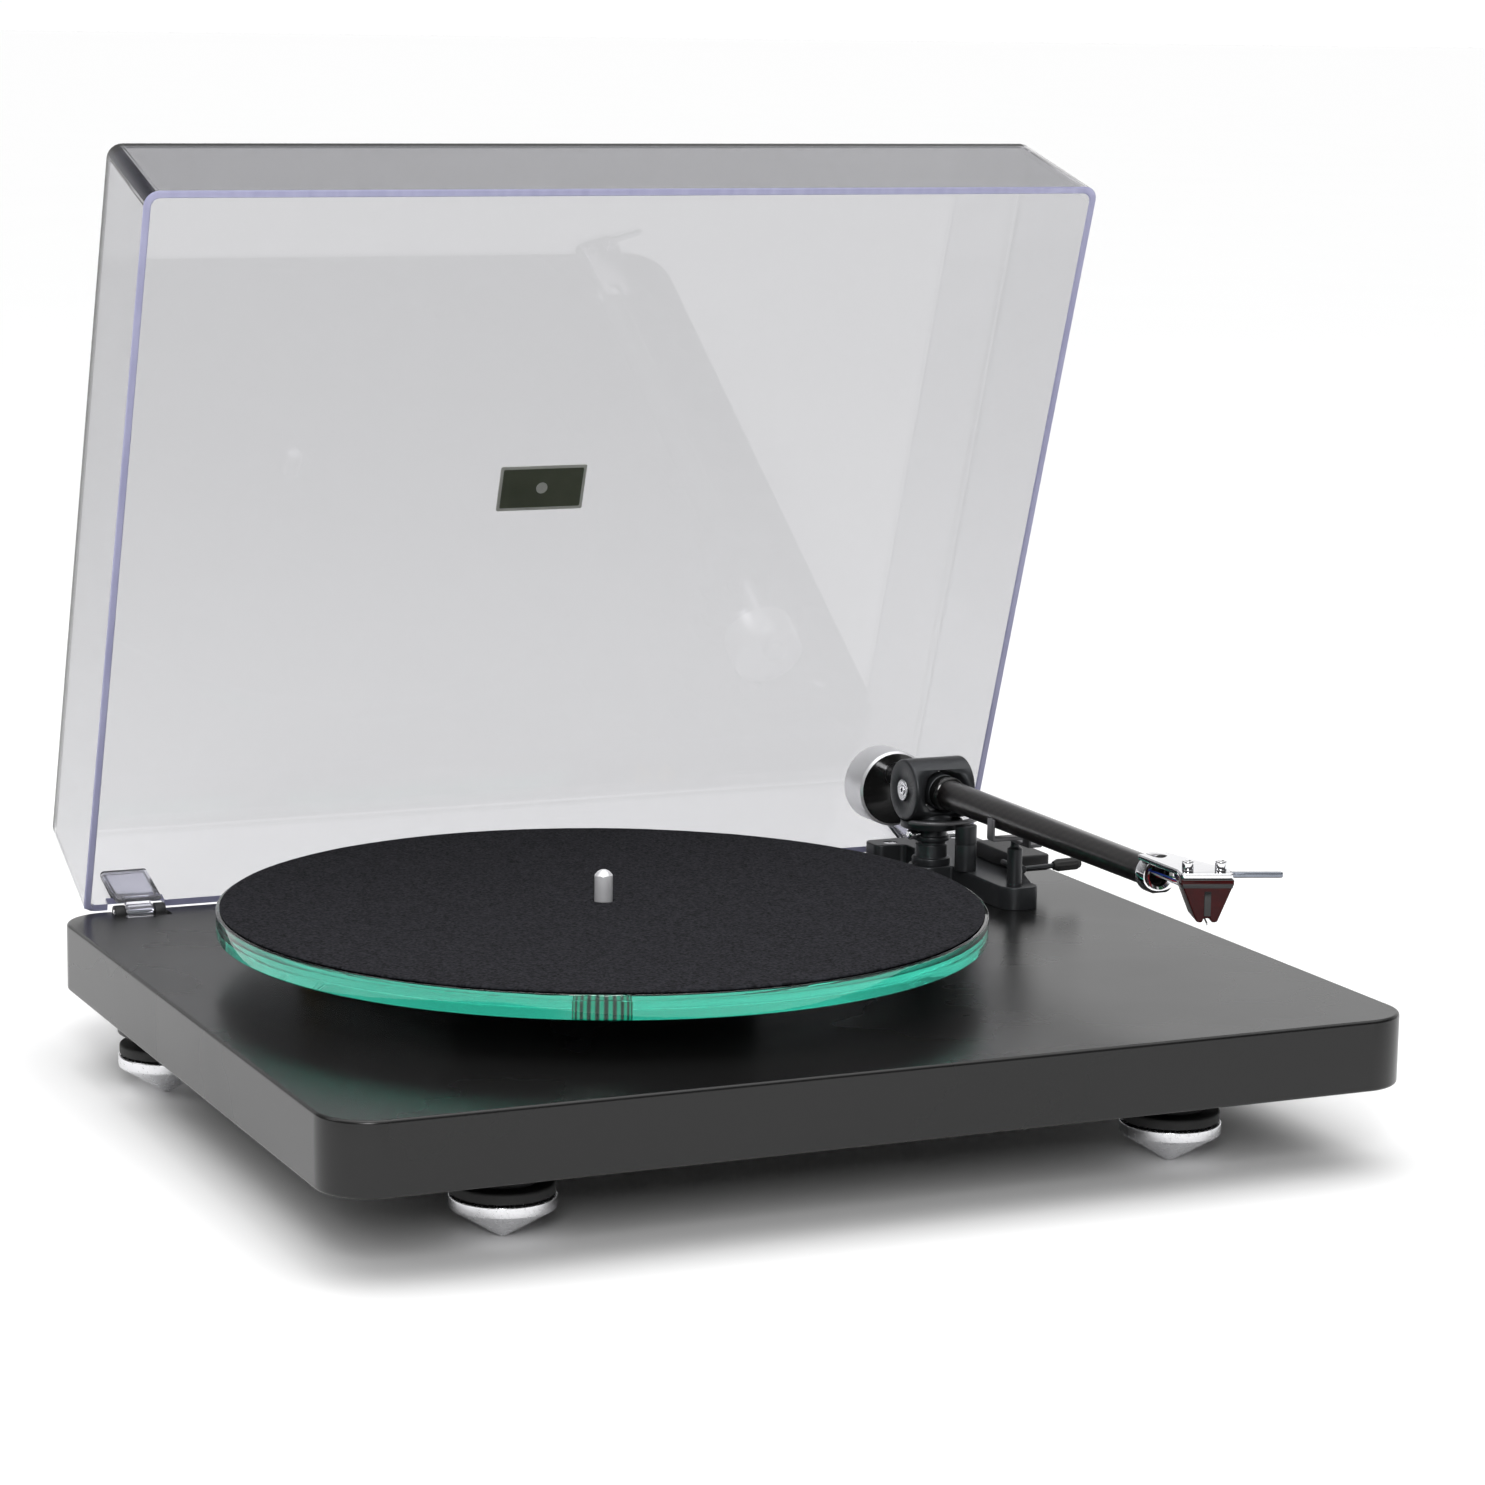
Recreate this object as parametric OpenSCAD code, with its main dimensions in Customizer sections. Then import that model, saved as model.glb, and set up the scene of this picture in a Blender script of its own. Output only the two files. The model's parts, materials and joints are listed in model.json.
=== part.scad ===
// Belt-driven record player: plinth on four cone feet, glass platter with a felt mat,
// straight conical tonearm and a hinged clear dust cover, shown open.
// Millimetres. Z = 0 is the surface it stands on, X runs along the front, Y to the back.

/* [Plinth] */
// Width of the plinth
plinth_w = 430.7; // [425:0.1:436]
// Depth of the plinth
plinth_d = 347.3; // [344:0.1:352]
// Thickness of the plinth
plinth_h = 27.5; // [27:0.1:29]
// Height of the plinth's underside above the table
plinth_z = 32.2; // [32:0.1:34]
// Radius of the plinth's corners in plan
plinth_corner = 20; // [12:1:26]
// Edge break round the plinth's top and bottom
plinth_edge = 1; // [0.4:0.1:1.5]

/* [Feet] */
// Half the distance between the front feet
front_foot_x = 136; // [120:1:150]
// Front feet, distance in front of the plinth's centre
front_foot_y = 126.7; // [115:0.1:135]
// Half the distance between the rear feet
rear_foot_x = 188.6; // [180:0.1:190]
// Rear feet, distance behind the plinth's centre
rear_foot_y = 106.8; // [95:0.1:115]
// Radius of a foot's damper cup
cup_r = 19.5; // [18:0.1:21]

/* [Platter] */
// Spindle, distance to the right of the plinth's centre
platter_x = -41; // [-45:0.1:-38]
// Spindle, distance behind the plinth's centre
platter_y = 10.7; // [6:0.1:14]
// Radius of the glass platter
platter_r = 150; // [148:0.1:152]
// Thickness of the glass platter
platter_h = 9.5; // [8:0.1:10.5]
// Gap between the plinth and the glass
platter_gap = 15.2; // [14.5:0.1:15.5]
// Radius of the felt mat
mat_r = 148.6; // [140:0.1:149.5]
// Thickness of the felt mat
mat_h = 1; // [0.8:0.1:2.8]
// Radius of the spindle above the mat
spindle_r = 3.57; // [3.5:0.01:3.62]
// Height of the spindle above the mat
spindle_up = 13; // [8:0.1:14]

/* [Drive] */
// Belt radius of the sub-platter
sub_r = 60; // [55:0.5:65]
// Belt radius of the motor pulley
pulley_r = 8; // [7:0.1:9]
// Motor, distance to the left of the spindle
motor_dx = 95; // [92:0.5:98]
// Motor, distance behind the spindle
motor_dy = 60; // [56:0.5:64]
// Radius of the motor's can
motor_r = 19.5; // [17:0.1:20]

/* [Dust cover] */
// Width of the dust cover at its rim
lid_w = 408.7; // [406:0.1:412]
// Depth of the dust cover at its rim
lid_d = 316; // [312:0.1:320]
// Height of the dust cover
lid_h = 60.1; // [59.5:0.1:64]
// Wall of the dust cover
lid_wall = 3; // [2.5:0.1:3.2]
// Opening angle of the dust cover, in degrees
lid_open = 71.63; // [60:0.01:75]
// Rear rim of the closed dust cover, distance behind the plinth's centre
lid_rear = 172.3; // [172:0.1:173]
// Gap between the closed dust cover's rim and the plinth
lid_gap = 0.5; // [0.4:0.1:1]
// Hinges, distance each side of the centre
hinge_x = 181; // [175:0.5:183]

/* [Tonearm] */
// Tonearm pivot, distance to the right of the plinth's centre
arm_x = 149.5; // [148:0.1:151]
// Tonearm pivot, distance behind the plinth's centre
arm_y = 103; // [101:0.1:105]
// Height of the arm tube's axis above the table
arm_z = 102; // [101.8:0.1:102.4]
// Radius of the tube at the pivot
tube_rear_r = 6.3; // [6:0.05:6.4]
// Radius of the tube at the headshell
tube_front_r = 5.75; // [5:0.05:6]
// Distance from the pivot to the front end of the tube
tube_reach = 189; // [185:0.5:192]
// Radius of the counterweight
weight_r = 16.5; // [15:0.1:16.6]
// Length of the counterweight
weight_len = 17.5; // [14:0.1:18]

/* [Hidden] */

$fn = 64;
hull_fn = 32;
eps = 0.01;
play = 0.04;          // radial clearance of a running fit
seat = 0.1;           // clearance of a piece in its pocket

plinth_top = plinth_z + plinth_h;

// Closed dust cover, and its hinge line found from where its rim stands closed and open
lid_z = plinth_top + lid_gap;
lid_shift_y = 0.5;    // the rim's rear corner moves forward by this when the cover opens
lid_shift_z = 2.3;    // and down by this
hinge_half = 0.5 / tan(lid_open / 2);
hinge_y = lid_rear - lid_shift_y / 2 - hinge_half * lid_shift_z;
hinge_z = lid_z - lid_shift_z / 2 + hinge_half * lid_shift_y;
lid_side_draft = 1.7;
lid_front_draft = 2.6;
lid_rear_draft = 5;
lid_corner = 7;
lid_top_round = 3;
lid_relief = 4;       // rear rim cut back so that it turns clear of the plinth

// The whole object's box is centred on Y = 0, from the plinth's front to the open cover's back
lid_back = hinge_y + (lid_rear - lid_rear_draft - lid_top_round - hinge_y) * cos(lid_open)
    + (lid_z + lid_h - hinge_z) * sin(lid_open);
plinth_y = -(lid_back - plinth_d / 2) / 2;

glass_z = plinth_top + platter_gap;
mat_z = glass_z + platter_h;
mat_top = mat_z + mat_h;
shaft_r = 4;
sub_z = plinth_top + 2.5;

motor_x = platter_x - motor_dx;
motor_y = platter_y + motor_dy;

base_top = plinth_top + 9.6;
disc_z = base_top + 16.2;     // underside of the turning disc below the yoke
disc_h = 3.2;
yoke_r = 13.2;
yoke_len = 28;
yoke_bore = 9.5;
hub_r = 7.6;
hub_len = 22;
stub_r = 5;
weight_drop = 6.7;            // the counterweight's bore is this far above its centre
weight_y = 35.5;              // front face of the counterweight behind the pivot

lift_at = [156.6, 84.8];
lift_r = 4.6;
lift_arc_r = 19.5;            // the lift bar curves round the pivot at this radius
lobe_at = [163, 52];          // front lobe of the arm's base plate
rest_at = [162, 50.8];
clip_y = 33;                  // front of the clip that the arm rests in
lever_at = [171, 61.5, 73.2]; // cue lever's pivot
lever_r = 1.2;
lever_eye_r = 1.9;
rod_r = 1.1;
knob_z = 82.95;
lever_rise = 1.5;
grip_from = 15.3;             // the lever's grip starts this far from its pivot

shell_at = [149.5, -125.5];   // middle of the headshell's front edge
shell_turn = -20.2;           // offset angle of the headshell
shell_z = 107.5;

feet = [
    [-front_foot_x, -front_foot_y], [front_foot_x, -front_foot_y],
    [-rear_foot_x, rear_foot_y], [rear_foot_x, rear_foot_y]
];
ring_z = 11.2;
ring_h = 4.4;
disc_foot_z = 16;
disc_foot_h = 4.2;
stud_r = 4;

hinge_w = 22;
pocket_half = 10;     // half the width of the cover's hinge pockets
pocket_front = 7.2;   // front face of a pocket, in front of the rear rim
pocket_h = 25;
blade_from = 5.5;     // front face of a hinge blade, in front of the rear rim
blade_h = 1.8;
blade_gap = 0.3;      // a blade's clearance in its pocket
knuckle_r = 3.2;
knuckle_w = 11;
pin_r = 1.5;

switch_at = [-186.5, -157];
switch_size = [22, 16, 9.5];
socket_z = plinth_z + 13.8;
panel_x = 97;
panel_size = [66, 1.5, 20];

// ---------- helpers ----------

// Everything is laid out from the plinth's centre, then moved into the object's frame
module from_plinth() { translate([0, plinth_y, 0]) children(); }

module up(x, y, z, r, h) { translate([x, y, z]) cylinder(r = r, h = h); }
module along_x(x, y, z, r, len) { translate([x, y, z]) rotate([0, 90, 0]) cylinder(r = r, h = len); }
module along_y(x, y, z, r, len) { translate([x, y, z]) rotate([-90, 0, 0]) cylinder(r = r, h = len); }
module block(low, high) { translate(low) cube(high - low); }

module tube_up(x, y, z, r, hole, h) {
    difference() {
        up(x, y, z, r, h);
        up(x, y, z - eps, hole, h + 2 * eps);
    }
}

module slab(w, d, r, z, h, inset) {
    translate([0, 0, z]) linear_extrude(h)
        offset(r = r - inset, $fn = hull_fn * 2) square([w - 2 * r, d - 2 * r], center = true);
}

// ---------- plinth and what is fixed to it ----------

module hinge_notches() {
    for (side = [-1, 1])
        block([side * hinge_x - hinge_w / 2, hinge_y - 10.5, plinth_top - 9.7],
              [side * hinge_x + hinge_w / 2, plinth_d / 2 + 1, plinth_top + 1]);
}

module plinth() {
    color([0.05, 0.05, 0.055]) from_plinth() difference() {
        hull() {
            slab(plinth_w, plinth_d, plinth_corner, plinth_z + plinth_edge, plinth_h - 2 * plinth_edge, 0);
            slab(plinth_w, plinth_d, plinth_corner, plinth_z, plinth_h, plinth_edge);
        }
        up(platter_x, platter_y, plinth_z - 1, 11 + seat, plinth_h + 2);
        up(motor_x, motor_y, plinth_z - 1, motor_r + 1, plinth_h - 2);
        up(motor_x, motor_y, plinth_z - 1, 5, plinth_h + 2);
        for (a = [30, 150, 270])
            up(motor_x + 25 * cos(a), motor_y + 25 * sin(a), plinth_z - 1, 1.6, 12);
        for (f = feet) up(f[0], f[1], plinth_z - 1, stud_r + 0.3, 15);
        hinge_notches();
        translate([switch_at[0], switch_at[1], plinth_z])
            block([-switch_size[0] / 2 - seat, -switch_size[1] / 2 - seat, -1],
                  [switch_size[0] / 2 + seat, switch_size[1] / 2 + seat, switch_size[2] - 0.3]);
        block([panel_x - 27, plinth_d / 2 - 24, socket_z - 8],
              [panel_x + 12, plinth_d / 2 + 1, socket_z + 8]);
        along_y(panel_x + 22, plinth_d / 2 - 13, socket_z, 2.1, 20);
        block([-20, 112, plinth_z - 1], [20, 148, plinth_z + 14]);
        for (p = arm_screw_places()) up(p[0], p[1], plinth_top - 12, 1.6, 13);
    }
}

module bottom_cover() {
    color([0.08, 0.08, 0.085]) from_plinth() block([-32, 106, plinth_z - 2], [32, 154, plinth_z]);
}

module foot_cups() {
    color([0.06, 0.06, 0.065]) from_plinth() for (f = feet)
        tube_up(f[0], f[1], plinth_z - 9.7, cup_r, stud_r + 0.3, 9.7);
}

module bearing_housing() {
    color("silver") from_plinth() difference() {
        union() {
            up(platter_x, platter_y, plinth_z + 1.8, 11, plinth_h);
            up(platter_x, platter_y, plinth_top, 18, 2);
        }
        up(platter_x, platter_y, plinth_z + 4.8, 6, plinth_h);
    }
}

module bearing_bush() {
    color("goldenrod") from_plinth()
        tube_up(platter_x, platter_y, plinth_z + 10.3, 6, shaft_r + play, plinth_h - 8.3);
}

module thrust_ball() {
    color("silver") from_plinth() translate([platter_x, platter_y, plinth_z + 7.3]) sphere(r = 2.5);
}

module motor_can() {
    color("silver") from_plinth() difference() {
        up(motor_x, motor_y, plinth_z, motor_r, plinth_h - 4);
        up(motor_x, motor_y, plinth_z + 10, 1.5 + play, plinth_h);
    }
}

module motor_plate() {
    color([0.2, 0.2, 0.2]) from_plinth() difference() {
        up(motor_x, motor_y, plinth_z - 2, 29, 2);
        for (a = [30, 150, 270])
            up(motor_x + 25 * cos(a), motor_y + 25 * sin(a), plinth_z - 3, 1.6, 4);
    }
}

module motor_screws() {
    color("silver") from_plinth() for (a = [30, 150, 270])
        translate([motor_x + 25 * cos(a), motor_y + 25 * sin(a), 0]) {
            up(0, 0, plinth_z - 3.6, 3, 1.6);
            up(0, 0, plinth_z - 2, 1.5, 12);
        }
}

module control_board() {
    color("darkgreen") from_plinth() {
        block([-18, 114, plinth_z + 4], [18, 146, plinth_z + 5.6]);
        block([-12, 120, plinth_z + 5.6], [-4, 130, plinth_z + 8]);
        block([2, 124, plinth_z + 5.6], [12, 138, plinth_z + 11]);
        block([-14, 136, plinth_z], [-8, 142, plinth_z + 4]);
    }
}

module switch_housing() {
    color([0.1, 0.1, 0.1]) from_plinth()
        translate([switch_at[0], switch_at[1], plinth_z - 0.5]) difference() {
        block([-switch_size[0] / 2, -switch_size[1] / 2, 0],
              [switch_size[0] / 2, switch_size[1] / 2, switch_size[2]]);
        block([-2.6, -6.5, -1], [2.6, 4.5, switch_size[2] - 1.2]);
        along_x(-8, -1, 4.3, 1, 16);
    }
}

module terminal_panel() {
    color([0.12, 0.12, 0.12]) from_plinth() difference() {
        block([panel_x - panel_size[0] / 2, plinth_d / 2, socket_z - panel_size[2] / 2],
              [panel_x + panel_size[0] / 2, plinth_d / 2 + panel_size[1], socket_z + panel_size[2] / 2]);
        for (x = [-7, 5]) along_y(panel_x + x, plinth_d / 2 - 1, socket_z, 3.9 + seat, 4);
        along_y(panel_x + 22, plinth_d / 2 - 1, socket_z, 2 + seat, 4);
        along_y(panel_x - 20, plinth_d / 2 - 1, socket_z, 4.5 + seat, 4);
    }
}

module signal_sockets() {
    for (x = [-7, 5]) color("gold") from_plinth() difference() {
        union() {
            along_y(panel_x + x, plinth_d / 2 - 8, socket_z, 3.9, 9.7);
            along_y(panel_x + x, plinth_d / 2 + panel_size[1] + seat, socket_z, 4.15, 8);
        }
        along_y(panel_x + x, plinth_d / 2 - 4, socket_z, 1.65, 14);
    }
}

module ground_post() {
    color("silver") from_plinth() {
        along_y(panel_x + 22, plinth_d / 2 - 12, socket_z, 2, 22);
        difference() {
            along_y(panel_x + 22, plinth_d / 2 + panel_size[1], socket_z, 4.4, 5);
            for (a = [0 : 30 : 330])
                along_y(panel_x + 22 + 4.6 * cos(a), plinth_d / 2 + 1, socket_z + 4.6 * sin(a), 0.5, 7);
        }
    }
}

module power_socket() {
    color([0.05, 0.05, 0.05]) from_plinth() difference() {
        union() {
            along_y(panel_x - 20, plinth_d / 2 - 11, socket_z, 4.5, 13);
            along_y(panel_x - 20, plinth_d / 2 + panel_size[1], socket_z, 5.6, 1);
        }
        along_y(panel_x - 20, plinth_d / 2 - 7, socket_z, 2.75, 12);
    }
}

module drive_belt() {
    belt_z = sub_z + 1.8;
    color([0.03, 0.03, 0.03]) from_plinth() translate([platter_x, platter_y, belt_z]) linear_extrude(4)
        difference() {
            hull() {
                circle(r = sub_r + 0.8, $fn = 96);
                translate([-motor_dx, motor_dy]) circle(r = pulley_r + 0.8, $fn = hull_fn);
            }
            hull() {
                circle(r = sub_r + seat, $fn = 96);
                translate([-motor_dx, motor_dy]) circle(r = pulley_r + seat, $fn = hull_fn);
            }
        }
}

// ---------- tonearm base and what stands on it ----------

function arm_screw_places() = [[153, 149], [186, 149], [186, 112]];

module disc_at(place, r) { translate(place) circle(r = r, $fn = hull_fn); }

module arm_plate_outline() {
    hull() {
        disc_at(lobe_at, 8);
        disc_at([163, 100], 8);
        disc_at([182.5, 106], 12);
    }
    hull() {
        disc_at([arm_x, arm_y], 9.3);
        disc_at([arm_x + 16, arm_y + 1], 9.3);
    }
    hull() {
        disc_at([166, 112], 8.5);
        disc_at([186, 112], 8.5);
        disc_at([186, 149], 8.5);
        disc_at([166, 149], 8.5);
    }
    hull() {
        disc_at([148, 147.5], 4);
        disc_at([148, 153.5], 4);
        disc_at([186, 149], 8.5);
    }
}

module arm_base() {
    color([0.1, 0.1, 0.105]) from_plinth() difference() {
        translate([0, 0, plinth_top]) linear_extrude(base_top - plinth_top) arm_plate_outline();
        for (p = arm_screw_places()) {
            up(p[0], p[1], plinth_top - 1, 1.6, 12);
            up(p[0], p[1], base_top - 1.8, 3.2, 3);
        }
    }
}

module arm_base_screws() {
    color("silver") from_plinth() for (p = arm_screw_places()) difference() {
        union() {
            up(p[0], p[1], base_top - 1.8, 3, 1.6);
            up(p[0], p[1], plinth_top - 11, 1.5, base_top - plinth_top + 9.3);
        }
        translate([p[0], p[1], base_top - 1.2]) cylinder(r = 1.4, h = 2, $fn = 6);
    }
}

module arm_column() {
    color([0.08, 0.09, 0.1]) from_plinth() difference() {
        union() {
            up(arm_x, arm_y, base_top, 8.2, 3.2);
            up(arm_x, arm_y, base_top + 3.2 - eps, 6.9, 5.6);
            up(arm_x, arm_y, base_top + 8.8 - 2 * eps, 6.2, 2);
            up(arm_x, arm_y, base_top + 10.5, 7.8, 2);
            up(arm_x, arm_y, base_top + 12.5 - eps, 6.6, disc_z - base_top - 12.8);
        }
        up(arm_x, arm_y, base_top + 1.5, shaft_r + play, 20);
    }
}

module height_screw() {
    color("silver") from_plinth() {
        along_x(arm_x - 12.4, arm_y - 2, knob_z, 2.2, 4);
        along_x(arm_x - 8.5, arm_y - 2, knob_z, 1, 1.8);
    }
}

module lift_cylinder() {
    color([0.09, 0.1, 0.11]) from_plinth()
        tube_up(lift_at[0], lift_at[1], base_top, lift_r, 2 + play, 19.6);
}

module lift_housing() {
    color([0.12, 0.12, 0.13]) from_plinth() difference() {
        union() {
            block([174, 72, base_top], [190.5, 109.5, base_top + 7]);
            block([168.8, 68.5, base_top], [178, 80, base_top + 9.5]);
            along_y(172, 68, base_top + 10.2, 5.4, 13);
        }
        along_y(lever_at[0], 67, lever_at[2], lever_r + play, 12);
    }
}

module rest_post() {
    color([0.08, 0.08, 0.085]) from_plinth() {
        up(rest_at[0], rest_at[1], base_top, 3.2, 15.7);
        up(rest_at[0], rest_at[1], base_top + 15.7 - eps, 1.9, 3.4);
    }
}

module rest_cradle() {
    foot_z = base_top + 19.1;
    plate_z = base_top + 22.9;
    color([0.3, 0.3, 0.3]) from_plinth() {
        block([158.6, clip_y, foot_z], [165, 53.6, foot_z + 1.6]);
        block([158.6, clip_y, foot_z + 1.5], [160.2, clip_y + 5.5, arm_z]);
        block([142.4, clip_y, plate_z], [158.7, clip_y + 5.5, plate_z + 1.6]);
        block([142.4, clip_y, plate_z + 1.5], [143.8, clip_y + 5.5, arm_z - tube_rear_r - 0.3]);
    }
}

// ---------- hinges ----------

module hinge_bases() {
    color([0.1, 0.1, 0.1]) from_plinth() for (side = [-1, 1]) translate([side * hinge_x, 0, 0]) difference() {
        union() {
            block([-hinge_w / 2 + seat, hinge_y - 10.4, plinth_top - 9.6],
                  [hinge_w / 2 - seat, plinth_d / 2 - 0.2, plinth_top - 4.4]);
            for (ear = [-1, 1]) {
                along_x(ear * 8.4 - 2.4, hinge_y, hinge_z, knuckle_r, 4.8);
                block([ear * 8.4 - 2.4, hinge_y - knuckle_r, plinth_top - 5],
                      [ear * 8.4 + 2.4, plinth_d / 2 - 0.2, hinge_z - 0.4]);
            }
        }
        along_x(-12, hinge_y, hinge_z, pin_r, 24);
    }
}

module hinge_pins() {
    color("silver") from_plinth() for (side = [-1, 1])
        along_x(side * hinge_x - 10.6, hinge_y, hinge_z, pin_r, 21.2);
}

// ---------- feet ----------

module foot_cone(f) {
    color("silver") from_plinth() {
        up(f[0], f[1], ring_z, 19.35, ring_h);
        translate([f[0], f[1], 0]) cylinder(r1 = 1.5, r2 = 19.3, h = ring_z);
        up(f[0], f[1], ring_z + ring_h - eps, 15, disc_foot_z - ring_z - ring_h);
    }
}

module foot_disc(f) {
    color([0.06, 0.06, 0.065]) from_plinth() {
        up(f[0], f[1], disc_foot_z, 18.8, disc_foot_h);
        up(f[0], f[1], disc_foot_z + disc_foot_h - eps, 12, 2.2);
        up(f[0], f[1], disc_foot_z, stud_r, 26);
    }
}

module foot_cone_front_left() { foot_cone(feet[0]); }
module foot_cone_front_right() { foot_cone(feet[1]); }
module foot_cone_rear_left() { foot_cone(feet[2]); }
module foot_cone_rear_right() { foot_cone(feet[3]); }
module foot_disc_front_left() { foot_disc(feet[0]); }
module foot_disc_front_right() { foot_disc(feet[1]); }
module foot_disc_rear_left() { foot_disc(feet[2]); }
module foot_disc_rear_right() { foot_disc(feet[3]); }

// ---------- what turns with the platter ----------

module spindle() {
    shaft_z = plinth_z + 9.85;
    seat_z = mat_top + 0.3;
    color("silver") from_plinth() {
        up(platter_x, platter_y, shaft_z, shaft_r, glass_z - shaft_z);
        up(platter_x, platter_y, glass_z - eps, spindle_r - 0.2, seat_z - glass_z + 2 * eps);
        up(platter_x, platter_y, seat_z, spindle_r, mat_top + spindle_up - 2 - seat_z);
        translate([platter_x, platter_y, mat_top + spindle_up - 2 - eps])
            cylinder(r1 = spindle_r, r2 = 1.6, h = 2);
    }
}

module sub_platter() {
    color([0.07, 0.07, 0.07]) from_plinth() difference() {
        union() {
            up(platter_x, platter_y, sub_z, sub_r, glass_z - sub_z - 1.6);
            up(platter_x, platter_y, glass_z - 1.6 - eps, 40, 1.6 + eps);
        }
        up(platter_x, platter_y, sub_z - 1, shaft_r, 20);
    }
}

module glass_platter() {
    color([0.2, 0.7, 0.55, 0.6]) from_plinth()
        tube_up(platter_x, platter_y, glass_z, platter_r, spindle_r + 0.15, platter_h);
}

module felt_mat() {
    color([0.17, 0.17, 0.18]) from_plinth()
        tube_up(platter_x, platter_y, mat_z, mat_r, spindle_r + 0.1, mat_h);
}

module motor_pulley() {
    pulley_z = sub_z + 0.2;
    color("gold") from_plinth() {
        up(motor_x, motor_y, plinth_z + 14, 1.5, pulley_z - plinth_z - 13);
        up(motor_x, motor_y, pulley_z, pulley_r + 1.6, 1);
        up(motor_x, motor_y, pulley_z + 1 - eps, pulley_r, 6);
        up(motor_x, motor_y, pulley_z + 7 - 2 * eps, pulley_r + 1.6, 1);
    }
}

// ---------- dust cover ----------

// What turns with the cover is laid out closed, then opened about the hinge line
module opened() {
    from_plinth() translate([0, hinge_y, hinge_z]) rotate([-lid_open, 0, 0])
        translate([0, -hinge_y, -hinge_z]) children();
}

// A thin slice through the cover at height v above its rim, smaller all round by inset
module lid_slice(v, inset) {
    k = v / lid_h;
    w = lid_w - 2 * lid_side_draft * k - 2 * inset;
    front = lid_rear - lid_d + lid_front_draft * k + inset;
    back = lid_rear - lid_rear_draft * k - inset;
    r = lid_corner - min(inset, lid_corner - 2);
    translate([0, (front + back) / 2, lid_z + v]) linear_extrude(eps)
        offset(r = r, $fn = hull_fn) square([w - 2 * r, back - front - 2 * r], center = true);
}

module lid_shell() {
    difference() {
        hull() {
            lid_slice(0, 0);
            lid_slice(lid_h - lid_top_round, 0);
            lid_slice(lid_h - 0.9, 0.9);
            lid_slice(lid_h - eps, lid_top_round);
        }
        hull() {
            lid_slice(-1, lid_wall);
            lid_slice(lid_h - lid_wall - 2, lid_wall);
            lid_slice(lid_h - lid_wall, lid_wall + 2);
        }
        block([-lid_w, lid_rear - lid_relief, lid_z - 1], [lid_w, lid_rear + 1, lid_z + lid_relief]);
    }
}

module dust_cover() {
    color([0.8, 0.82, 0.85, 0.3]) opened() difference() {
        union() {
            lid_shell();
            for (side = [-1, 1])
                block([side * hinge_x - pocket_half, lid_rear - pocket_front, lid_z],
                      [side * hinge_x + pocket_half, lid_rear - 2.5, lid_z + pocket_h]);
        }
        for (side = [-1, 1]) {
            block([side * hinge_x - pocket_half + 1.4, lid_rear - blade_from - blade_gap, lid_z - 1],
                  [side * hinge_x + pocket_half - 1.4, lid_rear - blade_from + blade_h + blade_gap,
                   lid_z + pocket_h - 1.5]);
            block([side * hinge_x - 12, lid_rear - blade_from - blade_gap, lid_z - 1],
                  [side * hinge_x + 12, lid_rear + 1, lid_z + 8]);
        }
    }
}

module hinge_blades() {
    blade_y = lid_rear - blade_from;
    blade_half = pocket_half - 1.7;
    color([0.8, 0.82, 0.85, 0.4]) opened() for (side = [-1, 1])
        translate([side * hinge_x, 0, 0]) difference() {
        union() {
            block([-blade_half, blade_y, lid_z + 3],
                  [blade_half, blade_y + blade_h, lid_z + pocket_h - 2]);
            hull() {
                along_x(-knuckle_w / 2, hinge_y, hinge_z, knuckle_r, knuckle_w);
                block([-knuckle_w / 2, blade_y, lid_z + 1],
                      [knuckle_w / 2, blade_y + blade_h, lid_z + 5]);
            }
        }
        along_x(-12, hinge_y, hinge_z, pin_r + play, 24);
    }
}

module badge_plate() {
    color([0.25, 0.26, 0.2]) opened() translate([-1.3, lid_rear - 159.2, lid_z + lid_h])
        block([-19.5, -10.2, 0], [19.5, 10.2, 0.6]);
}

// ---------- tonearm: turning yoke ----------

module bearing_yoke() {
    color([0.09, 0.1, 0.11]) from_plinth() difference() {
        union() {
            up(arm_x, arm_y, disc_z, 13.4, disc_h);
            block([arm_x - 9, arm_y - 6, disc_z + 1], [arm_x + 9, arm_y + 6, arm_z - 8]);
            along_x(arm_x - yoke_len / 2, arm_y, arm_z, yoke_r, yoke_len);
        }
        along_y(arm_x, arm_y - 20, arm_z, yoke_bore, 40);
        along_x(arm_x - 20, arm_y, arm_z, 2, 40);
        up(arm_x, arm_y, disc_z - 1, 3, disc_h);
    }
}

module yaw_shaft() {
    color("silver") from_plinth() {
        up(arm_x, arm_y, base_top + 2, shaft_r, disc_z - base_top - 2);
        up(arm_x, arm_y, disc_z - eps, 3, 2);
    }
}

module pivot_screws() {
    color("silver") from_plinth() for (side = [0, 1])
        translate([arm_x, arm_y, arm_z]) rotate([0, 0, side * 180]) {
            along_x(-yoke_len / 2 - 0.8, 0, 0, 2, yoke_len / 2 - hub_r);
            along_x(-hub_r - 1, 0, 0, 1.5, 3);
        }
}

module pivot_nuts() {
    color("silver") from_plinth() for (side = [0, 1])
        translate([arm_x, arm_y, arm_z]) rotate([0, 0, side * 180]) difference() {
            along_x(-yoke_len / 2 - 0.6, 0, 0, 4.6, 0.6);
            along_x(-yoke_len / 2 - 2, 0, 0, 2, 4);
        }
}

// ---------- tonearm: tilting arm ----------

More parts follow.
